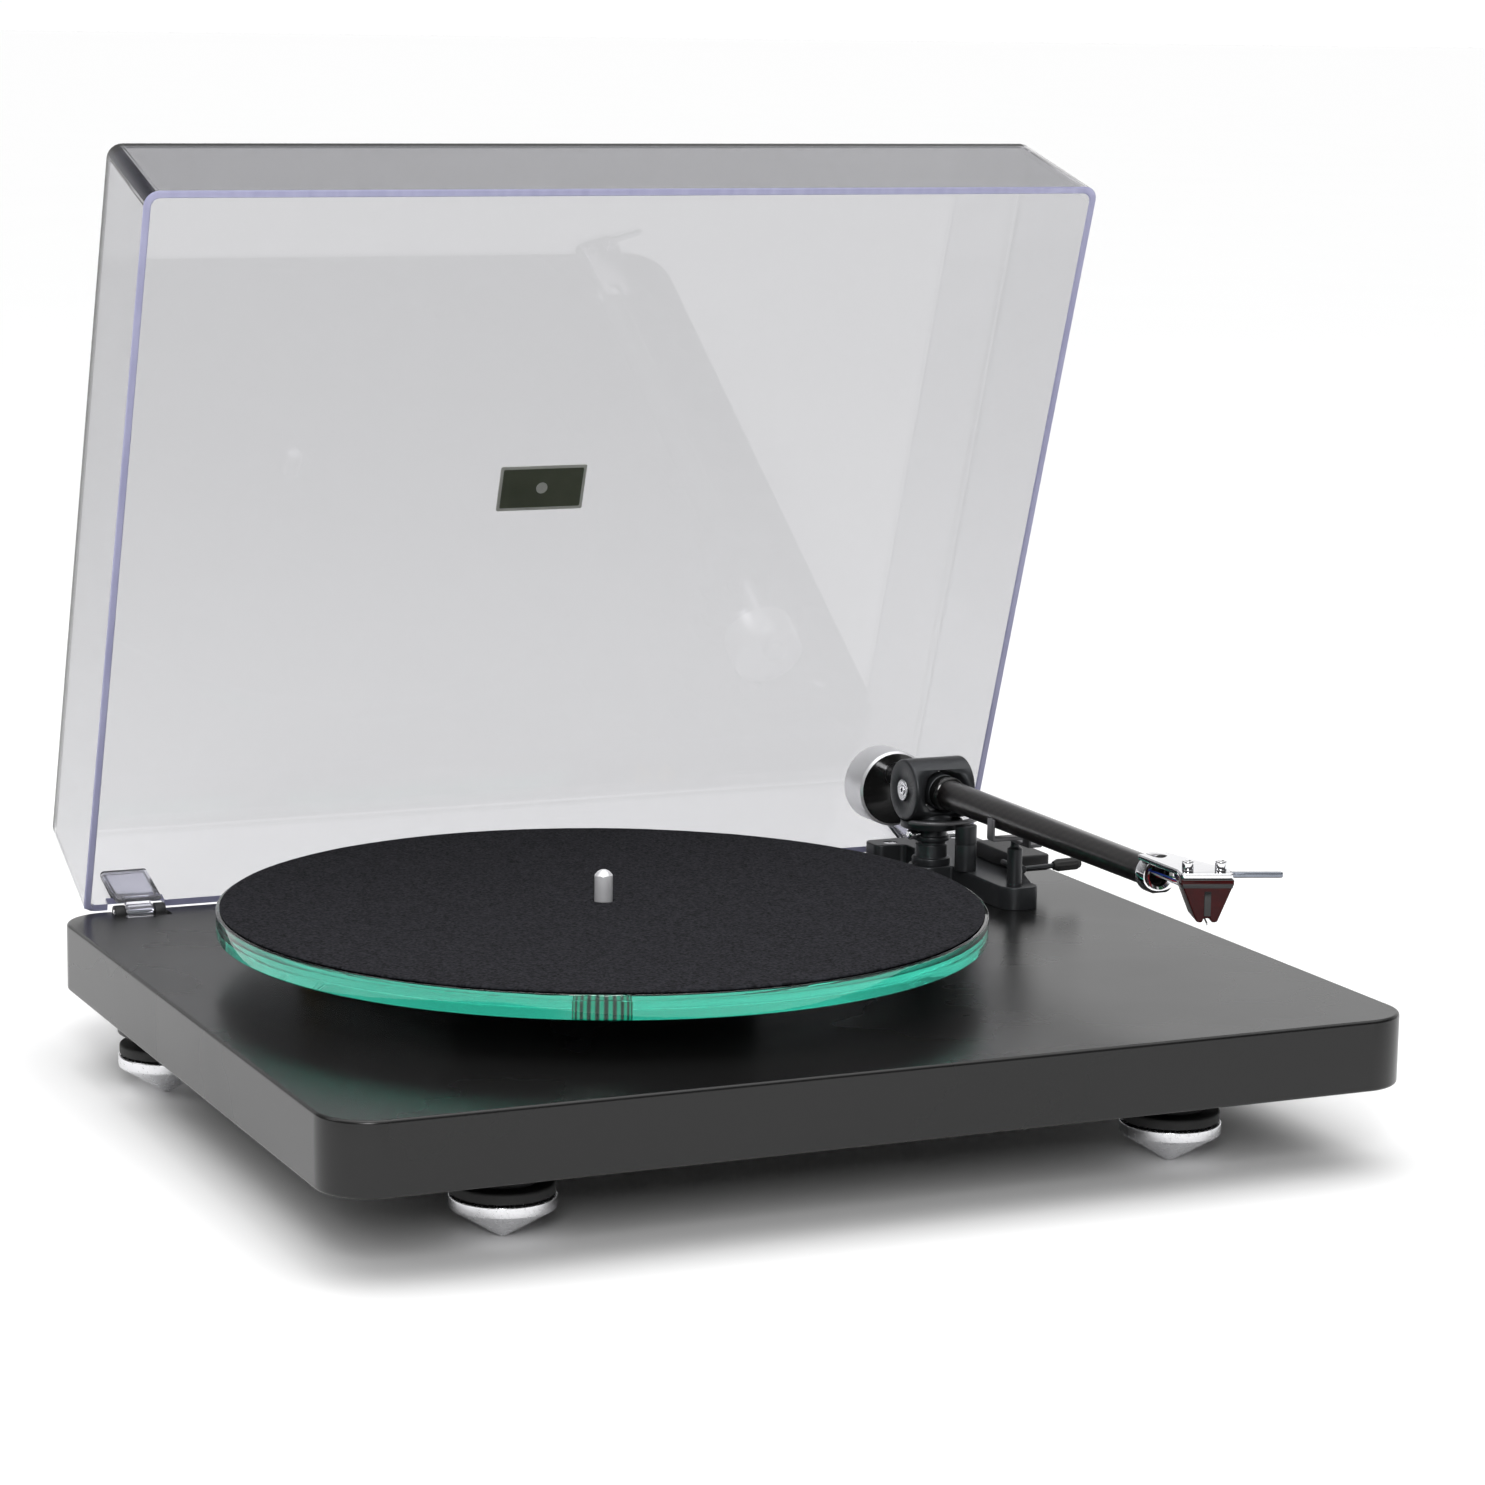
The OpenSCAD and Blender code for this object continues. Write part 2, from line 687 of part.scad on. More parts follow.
module bearing_hub() {
    color([0.1, 0.1, 0.1]) from_plinth() difference() {
        along_y(arm_x, arm_y - hub_len / 2, arm_z, hub_r, hub_len);
        along_x(arm_x - 10, arm_y, arm_z, 1.5 + play, 4.8);
        along_x(arm_x + 5.2, arm_y, arm_z, 1.5 + play, 4.8);
    }
}

module arm_tube() {
    color([0.12, 0.12, 0.12]) from_plinth() difference() {
        translate([arm_x, arm_y - hub_len / 2, arm_z]) rotate([90, 0, 0])
            cylinder(r1 = tube_rear_r, r2 = tube_front_r, h = tube_reach - hub_len / 2);
        along_y(arm_x, arm_y - 200, arm_z, 4.4, 188);
    }
}

module tube_collar() {
    color([0.04, 0.04, 0.04]) from_plinth() difference() {
        along_y(arm_x, arm_y - 17, arm_z, 7.4, 6);
        along_y(arm_x, arm_y - 20, arm_z, tube_rear_r, 12);
    }
}

module rear_stub() {
    color("silver") from_plinth() along_y(arm_x, arm_y + hub_len / 2, arm_z, stub_r, 46);
}

module shell_plane() {
    from_plinth() translate([shell_at[0], shell_at[1], 0]) rotate([0, 0, shell_turn]) children();
}

module headshell() {
    tube_end = arm_y - tube_reach;
    color("silver") {
        from_plinth() {
            difference() {
                along_y(arm_x, tube_end - 4, arm_z, 7.4, 7);
                along_y(arm_x, tube_end, arm_z, tube_front_r + 0.05, 8);
                along_y(arm_x, tube_end - 5, arm_z, 4.4, 8);
            }
        }
        difference() {
            union() {
                from_plinth() translate([0, 0, shell_z]) linear_extrude(2.2) polygon([
                    [arm_x - 6.4, tube_end + 3], [arm_x + 6.4, tube_end + 3],
                    [shell_at[0] + 10 * cos(shell_turn), shell_at[1] + 10 * sin(shell_turn)],
                    [shell_at[0] - 10 * cos(shell_turn), shell_at[1] - 10 * sin(shell_turn)]
                ]);
                shell_plane() block([8, 2.5, shell_z - 0.2], [29.5, 4.9, shell_z + 1.4]);
            }
            from_plinth() along_y(arm_x, tube_end - 0, arm_z, tube_front_r + 0.05, 8);
            for (x = [-6.35, 6.35]) shell_plane() up(x, 8, shell_z - 1, 1.3, 4);
        }
    }
}

module shell_screws() {
    color("silver") for (x = [-6.35, 6.35]) shell_plane() difference() {
        union() {
            up(x, 8, shell_z + 2.2, 2.3, 2.4);
            up(x, 8, shell_z - 4, 1.25, 6.5);
        }
        translate([x, 8, shell_z + 3.2]) cylinder(r = 1.1, h = 3, $fn = 6);
    }
}

module cartridge_body() {
    color([0.35, 0.03, 0.05]) shell_plane() difference() {
        translate([0, 17, 0]) rotate([90, 0, 0]) linear_extrude(18) polygon([
            [-10, shell_z], [10, shell_z], [10, shell_z - 2], [9, shell_z - 3.5],
            [3.6, shell_z - 16.5], [-3.6, shell_z - 16.5], [-9, shell_z - 3.5], [-10, shell_z - 2]
        ]);
        block([-1.4, -3, shell_z - 18], [1.4, 9, shell_z - 14.6]);
        for (x = [-6.35, 6.35]) up(x, 8, shell_z - 4.5, 1.3, 5);
    }
}

module stylus() {
    color("silver") shell_plane() {
        translate([0, 8.6, shell_z - 15.6]) rotate([98, 0, 0]) cylinder(r = 0.35, h = 10.4);
        translate([0, -1.5, shell_z - 17.5]) cylinder(r1 = 0.1, r2 = 0.35, h = 1);
    }
}

module cartridge_leads() {
    back = [[-4.5, shell_z - 6], [-1.5, shell_z - 8.5], [1.5, shell_z - 6], [4.5, shell_z - 8.5]];
    color("red") shell_plane() for (p = back) along_y(p[0], 17, p[1], 0.6, 9);
}

module counterweight() {
    color("silver") from_plinth() difference() {
        translate([arm_x, arm_y + weight_y, arm_z - weight_drop]) rotate([-90, 0, 0]) {
            cylinder(r1 = weight_r - 1, r2 = weight_r, h = 1);
            translate([0, 0, 1]) cylinder(r = weight_r, h = weight_len - 2);
            translate([0, 0, weight_len - 1]) cylinder(r1 = weight_r, r2 = weight_r - 1, h = 1);
        }
        along_y(arm_x, arm_y + weight_y - 1, arm_z, stub_r + play, weight_len + 2);
    }
}

// ---------- cueing lift ----------

// Round a rod that leaves the lever's pivot to the right, a little upwards
module on_lever(from, len, r1, r2) {
    translate([lever_at[0], lever_at[1], lever_at[2]]) rotate([0, 90 - lever_rise, 0])
        translate([0, 0, from]) cylinder(r1 = r1, r2 = r2, h = len);
}

module cue_lever() {
    color([0.06, 0.06, 0.06]) from_plinth() {
        along_y(lever_at[0], lever_at[1], lever_at[2], lever_r, 16.5);
        along_y(lever_at[0], lever_at[1] - 1.6, lever_at[2], lever_eye_r, 3.4);
        on_lever(0, grip_from + 2, rod_r, rod_r);
    }
}

module cue_grip() {
    color([0.03, 0.03, 0.03]) from_plinth() difference() {
        union() {
            on_lever(grip_from, 2, 2, 2.6);
            on_lever(grip_from + 2 - eps, 9.1, 2.6, 2.6);
            on_lever(grip_from + 11 - eps, 2, 2.6, 1.9);
        }
        on_lever(grip_from - 1, 3, rod_r, rod_r);
    }
}

module lift_bar() {
    bar_z = base_top + 20.2;
    color([0.1, 0.1, 0.1]) from_plinth() {
        up(lift_at[0], lift_at[1], base_top + 6, 2, 14.3);
        difference() {
            tube_up(arm_x, arm_y, bar_z, lift_arc_r + 1.5, lift_arc_r - 1.5, 1.4);
            translate([arm_x, arm_y, bar_z - 1]) rotate([0, 0, -50]) block([-30, 0, 0], [30, 30, 4]);
            translate([arm_x, arm_y, bar_z - 1]) rotate([0, 0, -145]) block([-30, -30, 0], [30, 0, 4]);
        }
    }
}

module switch_lever() {
    color("silver") from_plinth() translate([switch_at[0], switch_at[1] - 1, plinth_z + 3.8]) {
        along_x(-2.2, 0, 0, 3, 4.4);
        along_x(-7, 0, 0, 0.96, 14);
        up(0, 0, -7.6, 1.6, 7);
    }
}

plinth();
bottom_cover();
foot_cups();
bearing_housing();
bearing_bush();
thrust_ball();
motor_can();
motor_plate();
motor_screws();
control_board();
switch_housing();
terminal_panel();
signal_sockets();
ground_post();
power_socket();
drive_belt();
arm_base();
arm_base_screws();
arm_column();
height_screw();
lift_cylinder();
lift_housing();
rest_post();
rest_cradle();
hinge_bases();
hinge_pins();
foot_cone_front_left();
foot_cone_front_right();
foot_cone_rear_left();
foot_cone_rear_right();
foot_disc_front_left();
foot_disc_front_right();
foot_disc_rear_left();
foot_disc_rear_right();
spindle();
sub_platter();
glass_platter();
felt_mat();
motor_pulley();
dust_cover();
hinge_blades();
badge_plate();
bearing_yoke();
yaw_shaft();
pivot_screws();
pivot_nuts();
bearing_hub();
arm_tube();
tube_collar();
rear_stub();
headshell();
shell_screws();
cartridge_body();
cartridge_leads();
stylus();
counterweight();
cue_lever();
cue_grip();
lift_bar();
switch_lever();
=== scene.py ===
"""Belt-driven record player: the looks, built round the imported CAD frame.

The frame is in metres. The pieces are built in millimetres: box_mm, centre and joint_place
read the frame in millimetres, and Shape, upright and facing turn them back into metres.
The floor, the lights and the camera are in metres.
"""
import json
import math
from collections import namedtuple

import bmesh
import bpy
from mathutils import Matrix, Vector, noise


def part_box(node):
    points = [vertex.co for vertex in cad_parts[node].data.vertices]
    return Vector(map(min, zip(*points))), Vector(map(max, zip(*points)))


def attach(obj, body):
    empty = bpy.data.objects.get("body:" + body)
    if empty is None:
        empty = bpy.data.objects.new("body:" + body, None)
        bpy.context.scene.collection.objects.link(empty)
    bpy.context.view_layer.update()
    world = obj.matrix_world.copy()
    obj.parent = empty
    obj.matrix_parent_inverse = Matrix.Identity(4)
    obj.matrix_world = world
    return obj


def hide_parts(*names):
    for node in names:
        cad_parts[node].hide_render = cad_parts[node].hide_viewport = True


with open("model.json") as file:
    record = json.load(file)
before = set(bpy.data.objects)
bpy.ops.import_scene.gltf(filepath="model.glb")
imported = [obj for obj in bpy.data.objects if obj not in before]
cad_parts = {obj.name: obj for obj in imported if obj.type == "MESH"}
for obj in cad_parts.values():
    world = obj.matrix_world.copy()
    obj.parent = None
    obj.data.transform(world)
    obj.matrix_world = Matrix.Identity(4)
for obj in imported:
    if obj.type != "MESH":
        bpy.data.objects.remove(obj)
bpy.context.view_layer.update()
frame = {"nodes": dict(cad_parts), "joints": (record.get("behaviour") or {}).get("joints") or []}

MM = 0.001
JOINTS = {j["name"]: j for j in frame["joints"]}


# ---------------------------------------------------------------- places in the frame

Place = namedtuple("Place", "x y z")


def in_mm(point):
    return Place(*(v / MM for v in point))


def box_mm(node):
    low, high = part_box(node)
    return in_mm(Vector(low)), in_mm(Vector(high))


def size_mm(node):
    low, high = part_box(node)
    return in_mm(Vector(high) - Vector(low))


def centre(node):
    low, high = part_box(node)
    return in_mm((Vector(low) + Vector(high)) / 2)


def joint_place(name):
    return in_mm(Vector(JOINTS[name]["pos_m"]))


def metres(x, y, z):
    return Vector((x * MM, y * MM, z * MM))


def upright(place):
    """A matrix standing on the floor under a place."""
    return Matrix.Translation(metres(place.x, place.y, 0))


def facing(origin, direction):
    """A matrix at origin whose local Z points along direction."""
    z = Vector(direction).normalized()
    up = Vector((0, 0, 1)) if abs(z.z) <= 0.99 else Vector((0, 1, 0))
    x = up.cross(z).normalized()
    y = z.cross(x)
    return Matrix.Translation(metres(*origin)) @ Matrix((x, y, z)).transposed().to_4x4()


PLINTH_LOW, PLINTH_HIGH = box_mm("plinth")
SPINDLE = centre("spindle")
PIVOT = joint_place("arm_tilt")
TUBE_END = box_mm("arm_tube")[0].y
LID_OPEN = math.radians(JOINTS["lid_hinge"]["range_deg"][1])
LID_PIVOT = joint_place("lid_hinge")


# ---------------------------------------------------------------- materials

def split(tree, output):
    """The X, Y and Z of one kind of texture coordinate."""
    where = tree.nodes.new("ShaderNodeTexCoord")
    parts = tree.nodes.new("ShaderNodeSeparateXYZ")
    tree.links.new(where.outputs[output], parts.inputs[0])
    return parts.outputs


def remap(tree, value, low, high, from_low=0.3, from_high=0.7):
    """Stretches value to low..high. The usual from-range is where most noise lies."""
    r = tree.nodes.new("ShaderNodeMapRange")
    r.inputs["From Min"].default_value = from_low
    r.inputs["From Max"].default_value = from_high
    r.inputs["To Min"].default_value = low
    r.inputs["To Max"].default_value = high
    tree.links.new(value, r.inputs["Value"])
    return r.outputs["Result"]


def math_node(tree, operation, a, b=None):
    n = tree.nodes.new("ShaderNodeMath")
    n.operation = operation
    for socket, value in zip(n.inputs, (a, b)):
        if isinstance(value, (int, float)):
            socket.default_value = value
        elif value is not None:
            tree.links.new(value, socket)
    return n.outputs[0]


class Look:
    """A Principled material being built, with patterns at their real size on the piece."""

    def __init__(self, name, color, roughness, metallic=0.0):
        self.material = bpy.data.materials.new(name)
        self.material.use_nodes = True
        self.tree = self.material.node_tree
        self.shader = self.tree.nodes["Principled BSDF"]
        self.set("Base Color", (*color, 1))
        self.set("Roughness", roughness)
        self.set("Metallic", metallic)

    def set(self, socket, value):
        self.shader.inputs[socket].default_value = value

    def noise(self, scale, detail=3, stretch=(1, 1, 1), roughness=0.5):
        """Noise on object coordinates in metres, stretched by stretch."""
        where = self.tree.nodes.new("ShaderNodeTexCoord")
        mapping = self.tree.nodes.new("ShaderNodeMapping")
        mapping.inputs["Scale"].default_value = stretch
        self.tree.links.new(where.outputs["Object"], mapping.inputs["Vector"])
        n = self.tree.nodes.new("ShaderNodeTexNoise")
        n.inputs["Scale"].default_value = scale
        n.inputs["Detail"].default_value = detail
        n.inputs["Roughness"].default_value = roughness
        self.tree.links.new(mapping.outputs["Vector"], n.inputs["Vector"])
        return n.outputs["Fac"]

    def stripes(self, axis, pitch):
        """A sine wave of a given pitch along the piece's own surface."""
        along = split(self.tree, "UV")[axis]
        return self.math("SINE", self.math("MULTIPLY", along, 2 * math.pi / (pitch * MM)))

    def math(self, operation, a, b=None):
        return math_node(self.tree, operation, a, b)

    def remap(self, value, low, high, from_low=0.3, from_high=0.7):
        return remap(self.tree, value, low, high, from_low, from_high)

    def tint(self, value, first, second, socket="Base Color"):
        """Goes from the first colour to the second as value goes from 0 to 1."""
        mix = self.tree.nodes.new("ShaderNodeMix")
        mix.data_type = "RGBA"
        mix.inputs["A"].default_value = (*first, 1)
        mix.inputs["B"].default_value = (*second, 1)
        self.tree.links.new(value, mix.inputs["Factor"])
        self.tree.links.new(mix.outputs["Result"], self.shader.inputs[socket])

    def dull(self, value, low, high):
        """Lets the roughness follow value between low and high."""
        self.tree.links.new(self.remap(value, low, high), self.shader.inputs["Roughness"])

    def bump(self, value, height, strength):
        b = self.tree.nodes.new("ShaderNodeBump")
        b.inputs["Strength"].default_value = strength
        b.inputs["Distance"].default_value = height * MM
        self.tree.links.new(value, b.inputs["Height"])
        self.tree.links.new(b.outputs["Normal"], self.shader.inputs["Normal"])

    def absorb(self, color, density):
        """Colours the light by how far it travels inside a clear piece."""
        volume = self.tree.nodes.new("ShaderNodeVolumeAbsorption")
        volume.inputs["Color"].default_value = (*color, 1)
        volume.inputs["Density"].default_value = density
        self.tree.links.new(volume.outputs[0], self.tree.nodes["Material Output"].inputs["Volume"])


def times(color, factor, add=0.0):
    return tuple(min(1, c * factor + add) for c in color)


def satin_lacquer():
    look = Look("satin_black_lacquer", (0.006, 0.006, 0.006), 0.26)
    grain = look.noise(900, 2)
    look.dull(look.noise(9, 4), 0.24, 0.29)
    look.tint(grain, (0.005, 0.005, 0.005), (0.009, 0.009, 0.009))
    look.set("IOR", 1.42)
    look.bump(grain, 0.012, 0.35)
    return look.material


def moulded_plastic(name, color, roughness, grain_height=0.02):
    look = Look(name, color, roughness)
    grain = look.noise(2600, 3)
    look.tint(look.noise(60, 4), color, times(color, 1.5, 0.004))
    look.dull(grain, roughness - 0.06, roughness + 0.08)
    look.bump(grain, grain_height, 0.5)
    return look.material


def anodised(name, color, roughness):
    """Anodised aluminium: a fine bead-blasted skin with a dull metal sheen."""
    look = Look(name, color, roughness, 0.55)
    fine = look.noise(4200, 2)
    look.tint(fine, color, times(color, 1.35))
    look.dull(fine, roughness - 0.05, roughness + 0.09)
    look.bump(fine, 0.006, 0.5)
    return look.material


def turned_metal(name, color, roughness, pitch):
    """Metal turned on a lathe about local Z: fine rings at a real pitch."""
    look = Look(name, color, roughness, 1.0)
    rings = look.stripes("Y", pitch)
    look.dull(look.noise(700, 2), roughness * 0.8, roughness * 1.35)
    look.tint(look.remap(rings, 0, 0.5, -1, 1), color, times(color, 0.86))
    return look.material


def satin_steel():
    """Fine ground steel with an even, dull shine."""
    look = Look("satin_steel", (0.88, 0.88, 0.90), 0.3, 0.55)
    haze = look.noise(60, 2)
    look.dull(haze, 0.28, 0.33)
    look.tint(haze, (0.84, 0.84, 0.86), (0.92, 0.92, 0.94))
    return look.material


def polished_metal(name, color, roughness):
    look = Look(name, color, roughness, 1.0)
    haze = look.noise(400, 4)
    look.dull(haze, roughness * 0.6, roughness * 1.8)
    look.tint(haze, color, times(color, 0.93))
    look.bump(look.noise(120, 2), 0.01, 0.15)
    return look.material


def felt():
    """Pressed wool felt: matted fibres 0.1 to 0.3 mm across, with a soft nap."""
    look = Look("pressed_felt", (0.03, 0.03, 0.032), 1.0)
    fibres = look.noise(3200, 4, (1, 1, 0.4), 0.7)
    clumps = look.noise(950, 2, (1, 1, 0.4), 0.6)
    both = look.math("ADD", look.math("MULTIPLY", fibres, 0.3), look.math("MULTIPLY", clumps, 0.7))
    look.tint(look.remap(both, 0, 1, 0.36, 0.66), (0.002, 0.002, 0.0025), (0.032, 0.032, 0.038))
    look.set("Sheen Weight", 0.01)
    look.set("Sheen Roughness", 0.5)
    look.set("Specular IOR Level", 0.06)
    look.bump(both, 0.3, 0.9)
    return look.material


def clear_acrylic(name, color, roughness=0.0, density=12, ior=1.49, clear=1.0):
    """Clear acrylic with a faint smoke tint and a little polishing haze."""
    look = Look(name, color, roughness)
    look.set("Transmission Weight", clear)
    look.set("IOR", ior)
    look.absorb((0.2, 0.2, 0.42), density)
    look.bump(look.noise(14, 2), 0.05, 0.04)
    return look.material


def painted_rim_light():
    """The cover's cut rim, painted light: a pale violet colour stands in for the light carried inside the
    sheet that comes out there.
    """
    look = Look("clear_acrylic_edge_painted_light", (0.42, 0.42, 0.62), 0.3)
    look.set("Transmission Weight", 0.25)
    look.set("IOR", 1.49)
    look.tint(look.noise(40, 4, (6, 1, 1)), (0.30, 0.30, 0.50), (0.50, 0.50, 0.70))
    look.bump(look.noise(900, 2), 0.01, 0.3)
    return look.material


def green_glass():
    """Float glass: clear across its thickness and deep green along its length."""
    look = Look("green_edge_glass", (0.78, 1.0, 0.93), 0.0)
    look.set("Transmission Weight", 1.0)
    look.set("IOR", 1.52)
    look.set("Specular IOR Level", 0.25)
    look.absorb((0.0, 0.92, 0.80), 9)
    look.bump(look.noise(90, 2, (1, 1, 12)), 0.02, 0.3)
    return look.material


def bush_with_painted_glow():
    """The bush in the platter's hole: dark splines, with a painted green glow between them that stands in
    for light coming through the glass.
    """
    look = Look("splined_bush_painted_glow", (0.01, 0.08, 0.06), 0.5)
    glow_stripes = look.remap(look.stripes("X", 2.3), 0, 1, -0.5, 0.5)
    # painted light: a striped green emission, dim over the splines and brighter between them
    look.tint(glow_stripes, (0.001, 0.03, 0.022), (0.01, 0.42, 0.30), "Emission Color")
    look.set("Emission Strength", 0.8)
    look.set("Specular IOR Level", 0.0)
    look.dull(look.noise(900, 2), 0.4, 0.6)
    return look.material


def carbon_weave():
    """Lacquered twill on the tube: crossing tows, each passing over two and under two."""
    look = Look("carbon_weave", (0.02, 0.02, 0.02), 0.3)
    tow = 1.4 * MM
    around, along = split(look.tree, "UV")[:2]
    u = look.math("FLOOR", look.math("DIVIDE", around, tow))
    v = look.math("FLOOR", look.math("DIVIDE", along, tow))
    positive = look.math("ADD", look.math("ADD", u, v), 400)
    over = look.math("LESS_THAN", look.math("MODULO", positive, 4), 1.5)
    look.tint(over, (0.004, 0.003, 0.003), (0.011, 0.009, 0.008))
    look.set("Coat Weight", 0.45)
    look.set("Coat Roughness", 0.15)
    return look.material


def red_moulding():
    """Dark red translucent plastic of the cartridge."""
    look = Look("dark_red_translucent", (0.05, 0.002, 0.003), 0.2)
    look.set("Transmission Weight", 0.1)
    look.set("IOR", 1.42)
    look.set("Specular IOR Level", 0.2)
    look.tint(look.noise(260, 3), (0.02, 0.0008, 0.001), (0.055, 0.0015, 0.002))
    look.bump(look.noise(1800, 2), 0.01, 0.3)
    return look.material


def circuit_board():
    look = Look("board_green", (0.01, 0.09, 0.04), 0.35)
    where = look.tree.nodes.new("ShaderNodeTexCoord")
    tracks = look.tree.nodes.new("ShaderNodeTexBrick")
    tracks.inputs["Scale"].default_value = 260
    tracks.inputs["Color1"].default_value = (0.008, 0.085, 0.035, 1)
    tracks.inputs["Color2"].default_value = (0.012, 0.11, 0.05, 1)
    tracks.inputs["Mortar"].default_value = (0.02, 0.17, 0.07, 1)
    look.tree.links.new(where.outputs["Object"], tracks.inputs["Vector"])
    look.tree.links.new(tracks.outputs["Color"], look.shader.inputs["Base Color"])
    return look.material


def mirror_badge():
    look = Look("dark_mirror_badge", (0.12, 0.13, 0.10), 0.2, 0.2)
    look.dull(look.noise(300, 4, (1, 12, 12)), 0.03, 0.1)
    look.tint(look.noise(50, 3), (0.10, 0.12, 0.075), (0.22, 0.24, 0.17))
    return look.material


def pale_floor():
    """A pale matt floor with a faint unevenness."""
    look = Look("pale_floor", (0.93, 0.93, 0.93), 0.7)
    look.set("Specular IOR Level", 0.0)
    look.tint(look.noise(3, 2), (0.925, 0.925, 0.925), (0.935, 0.935, 0.935))
    return look.material


LACQUER = satin_lacquer()
PLASTIC = moulded_plastic("black_plastic", (0.018, 0.018, 0.019), 0.5)
RUBBER = moulded_plastic("black_rubber", (0.012, 0.012, 0.012), 0.68, 0.035)
GLOSS_BLACK = moulded_plastic("gloss_black", (0.006, 0.006, 0.006), 0.12, 0.003)
ANODISED = anodised("black_anodised", (0.035, 0.037, 0.040), 0.33)
ANODISED_LIGHT = anodised("grey_anodised", (0.12, 0.12, 0.125), 0.38)
ALUMINIUM = turned_metal("turned_aluminium", (0.80, 0.80, 0.82), 0.22, 0.4)
SATIN_STEEL = satin_steel()
CHROME = polished_metal("chrome", (0.86, 0.86, 0.88), 0.05)
DARK_CHROME = polished_metal("dark_chrome", (0.22, 0.24, 0.28), 0.16)
STEEL = polished_metal("bright_steel", (0.66, 0.66, 0.68), 0.16)
BRONZE = polished_metal("bronze", (0.62, 0.42, 0.16), 0.22)
GILT = polished_metal("gilt", (0.9, 0.65, 0.22), 0.14)
FELT = felt()
ACRYLIC = clear_acrylic("clear_acrylic", (0.65, 0.65, 0.66))
# the pale violet rim colour is painted light
RIM_PAINTED_LIGHT = painted_rim_light()
POCKET = clear_acrylic("clear_pocket", (0.93, 0.93, 0.98), 0.03, 1, 1.3, 0.93)
# the near-black corner material is painted shade
CORNER_PAINTED_SHADE = clear_acrylic("clear_corner_painted_shade", (0.05, 0.05, 0.07))
GLASS = green_glass()
WEAVE = carbon_weave()
BUSH_PAINTED_GLOW = bush_with_painted_glow()
RED = red_moulding()
BOARD = circuit_board()
BADGE = mirror_badge()
FRAME = moulded_plastic("badge_frame", (0.55, 0.56, 0.50), 0.3, 0.004)


# ---------------------------------------------------------------- outlines

def arc_points(corner, before, after, radius, steps):
    """The points that round one corner of an outline."""
    p = Vector(corner)
    a, b = Vector(before) - p, Vector(after) - p
    room = min(a.length, b.length) * 0.499
    a.normalize()
    b.normalize()
    half = a.angle(b) / 2
    if half > math.radians(89):
        return [tuple(p)]
    reach = min(radius / math.tan(half), room)
    radius = reach * math.tan(half)
    middle = p + (a + b).normalized() * radius / math.sin(half)
    start, end = p + a * reach - middle, p + b * reach - middle
    turn = math.atan2(start.x * end.y - start.y * end.x, start.dot(end))
    out = []
    for i in range(steps + 1):
        t = turn * i / steps
        out.append((middle.x + start.x * math.cos(t) - start.y * math.sin(t),
                    middle.y + start.x * math.sin(t) + start.y * math.cos(t)))
    return out


def rounded(points, closed=True, steps=6):
    """Rounds the corners of an outline given as (x, y) or (x, y, corner radius)."""
    out = []
    last = len(points) - 1
    for i, p in enumerate(points):
        radius = p[2] if len(p) > 2 else 0
        if radius == 0 or (not closed and i in (0, last)):
            out.append((p[0], p[1]))
        else:
            after = points[(i + 1) % len(points)]
            out += arc_points(p[:2], points[i - 1][:2], after[:2], radius, steps)
    return out


def rounded_rect(w, d, r, steps=8):
    x, y = w / 2, d / 2
    return rounded([(-x, -y, r), (x, -y, r), (x, y, r), (-x, y, r)], steps=steps)


def cylinder(radius, low, high, low_round=0, high_round=0, steps=4):
    """The profile of a solid cylinder, with its two edges rounded."""
    points = [(0, low), (radius, low, low_round), (radius, high, high_round), (0, high)]
    return rounded(points, False, steps)


def tube(inner, outer, low, high, inner_round=0, outer_round=0, steps=3):
    """The closed profile of a tube, with its four edges rounded."""
    return rounded([(inner, low, inner_round), (outer, low, outer_round),
                    (outer, high, outer_round), (inner, high, inner_round)], True, steps)


def inset(outline, amount):
    """A closed anticlockwise outline moved inwards."""
    out = []
    n = len(outline)
    for i, p in enumerate(outline):
        p = Vector(p)
        a = (p - Vector(outline[i - 1])).normalized()
        b = (Vector(outline[(i + 1) % n]) - p).normalized()
        na, nb = Vector((-a.y, a.x)), Vector((-b.y, b.x))
        m = (na + nb).normalized()
        out.append(tuple(p + m * amount / max(0.3, m.dot(na))))
    return out


def circle(at, radius, height, sides):
    """Points of a circle about local Z."""
    turns = [2 * math.pi * i / sides for i in range(sides)]
    return [at @ metres(radius * math.cos(t), radius * math.sin(t), height) for t in turns]


# ---------------------------------------------------------------- mesh building

WELD = 1e-7          # in metres, as Blender takes it
FLAT_AREA = 2e-4     # a cut face larger than this, in square metres, is shaded flat


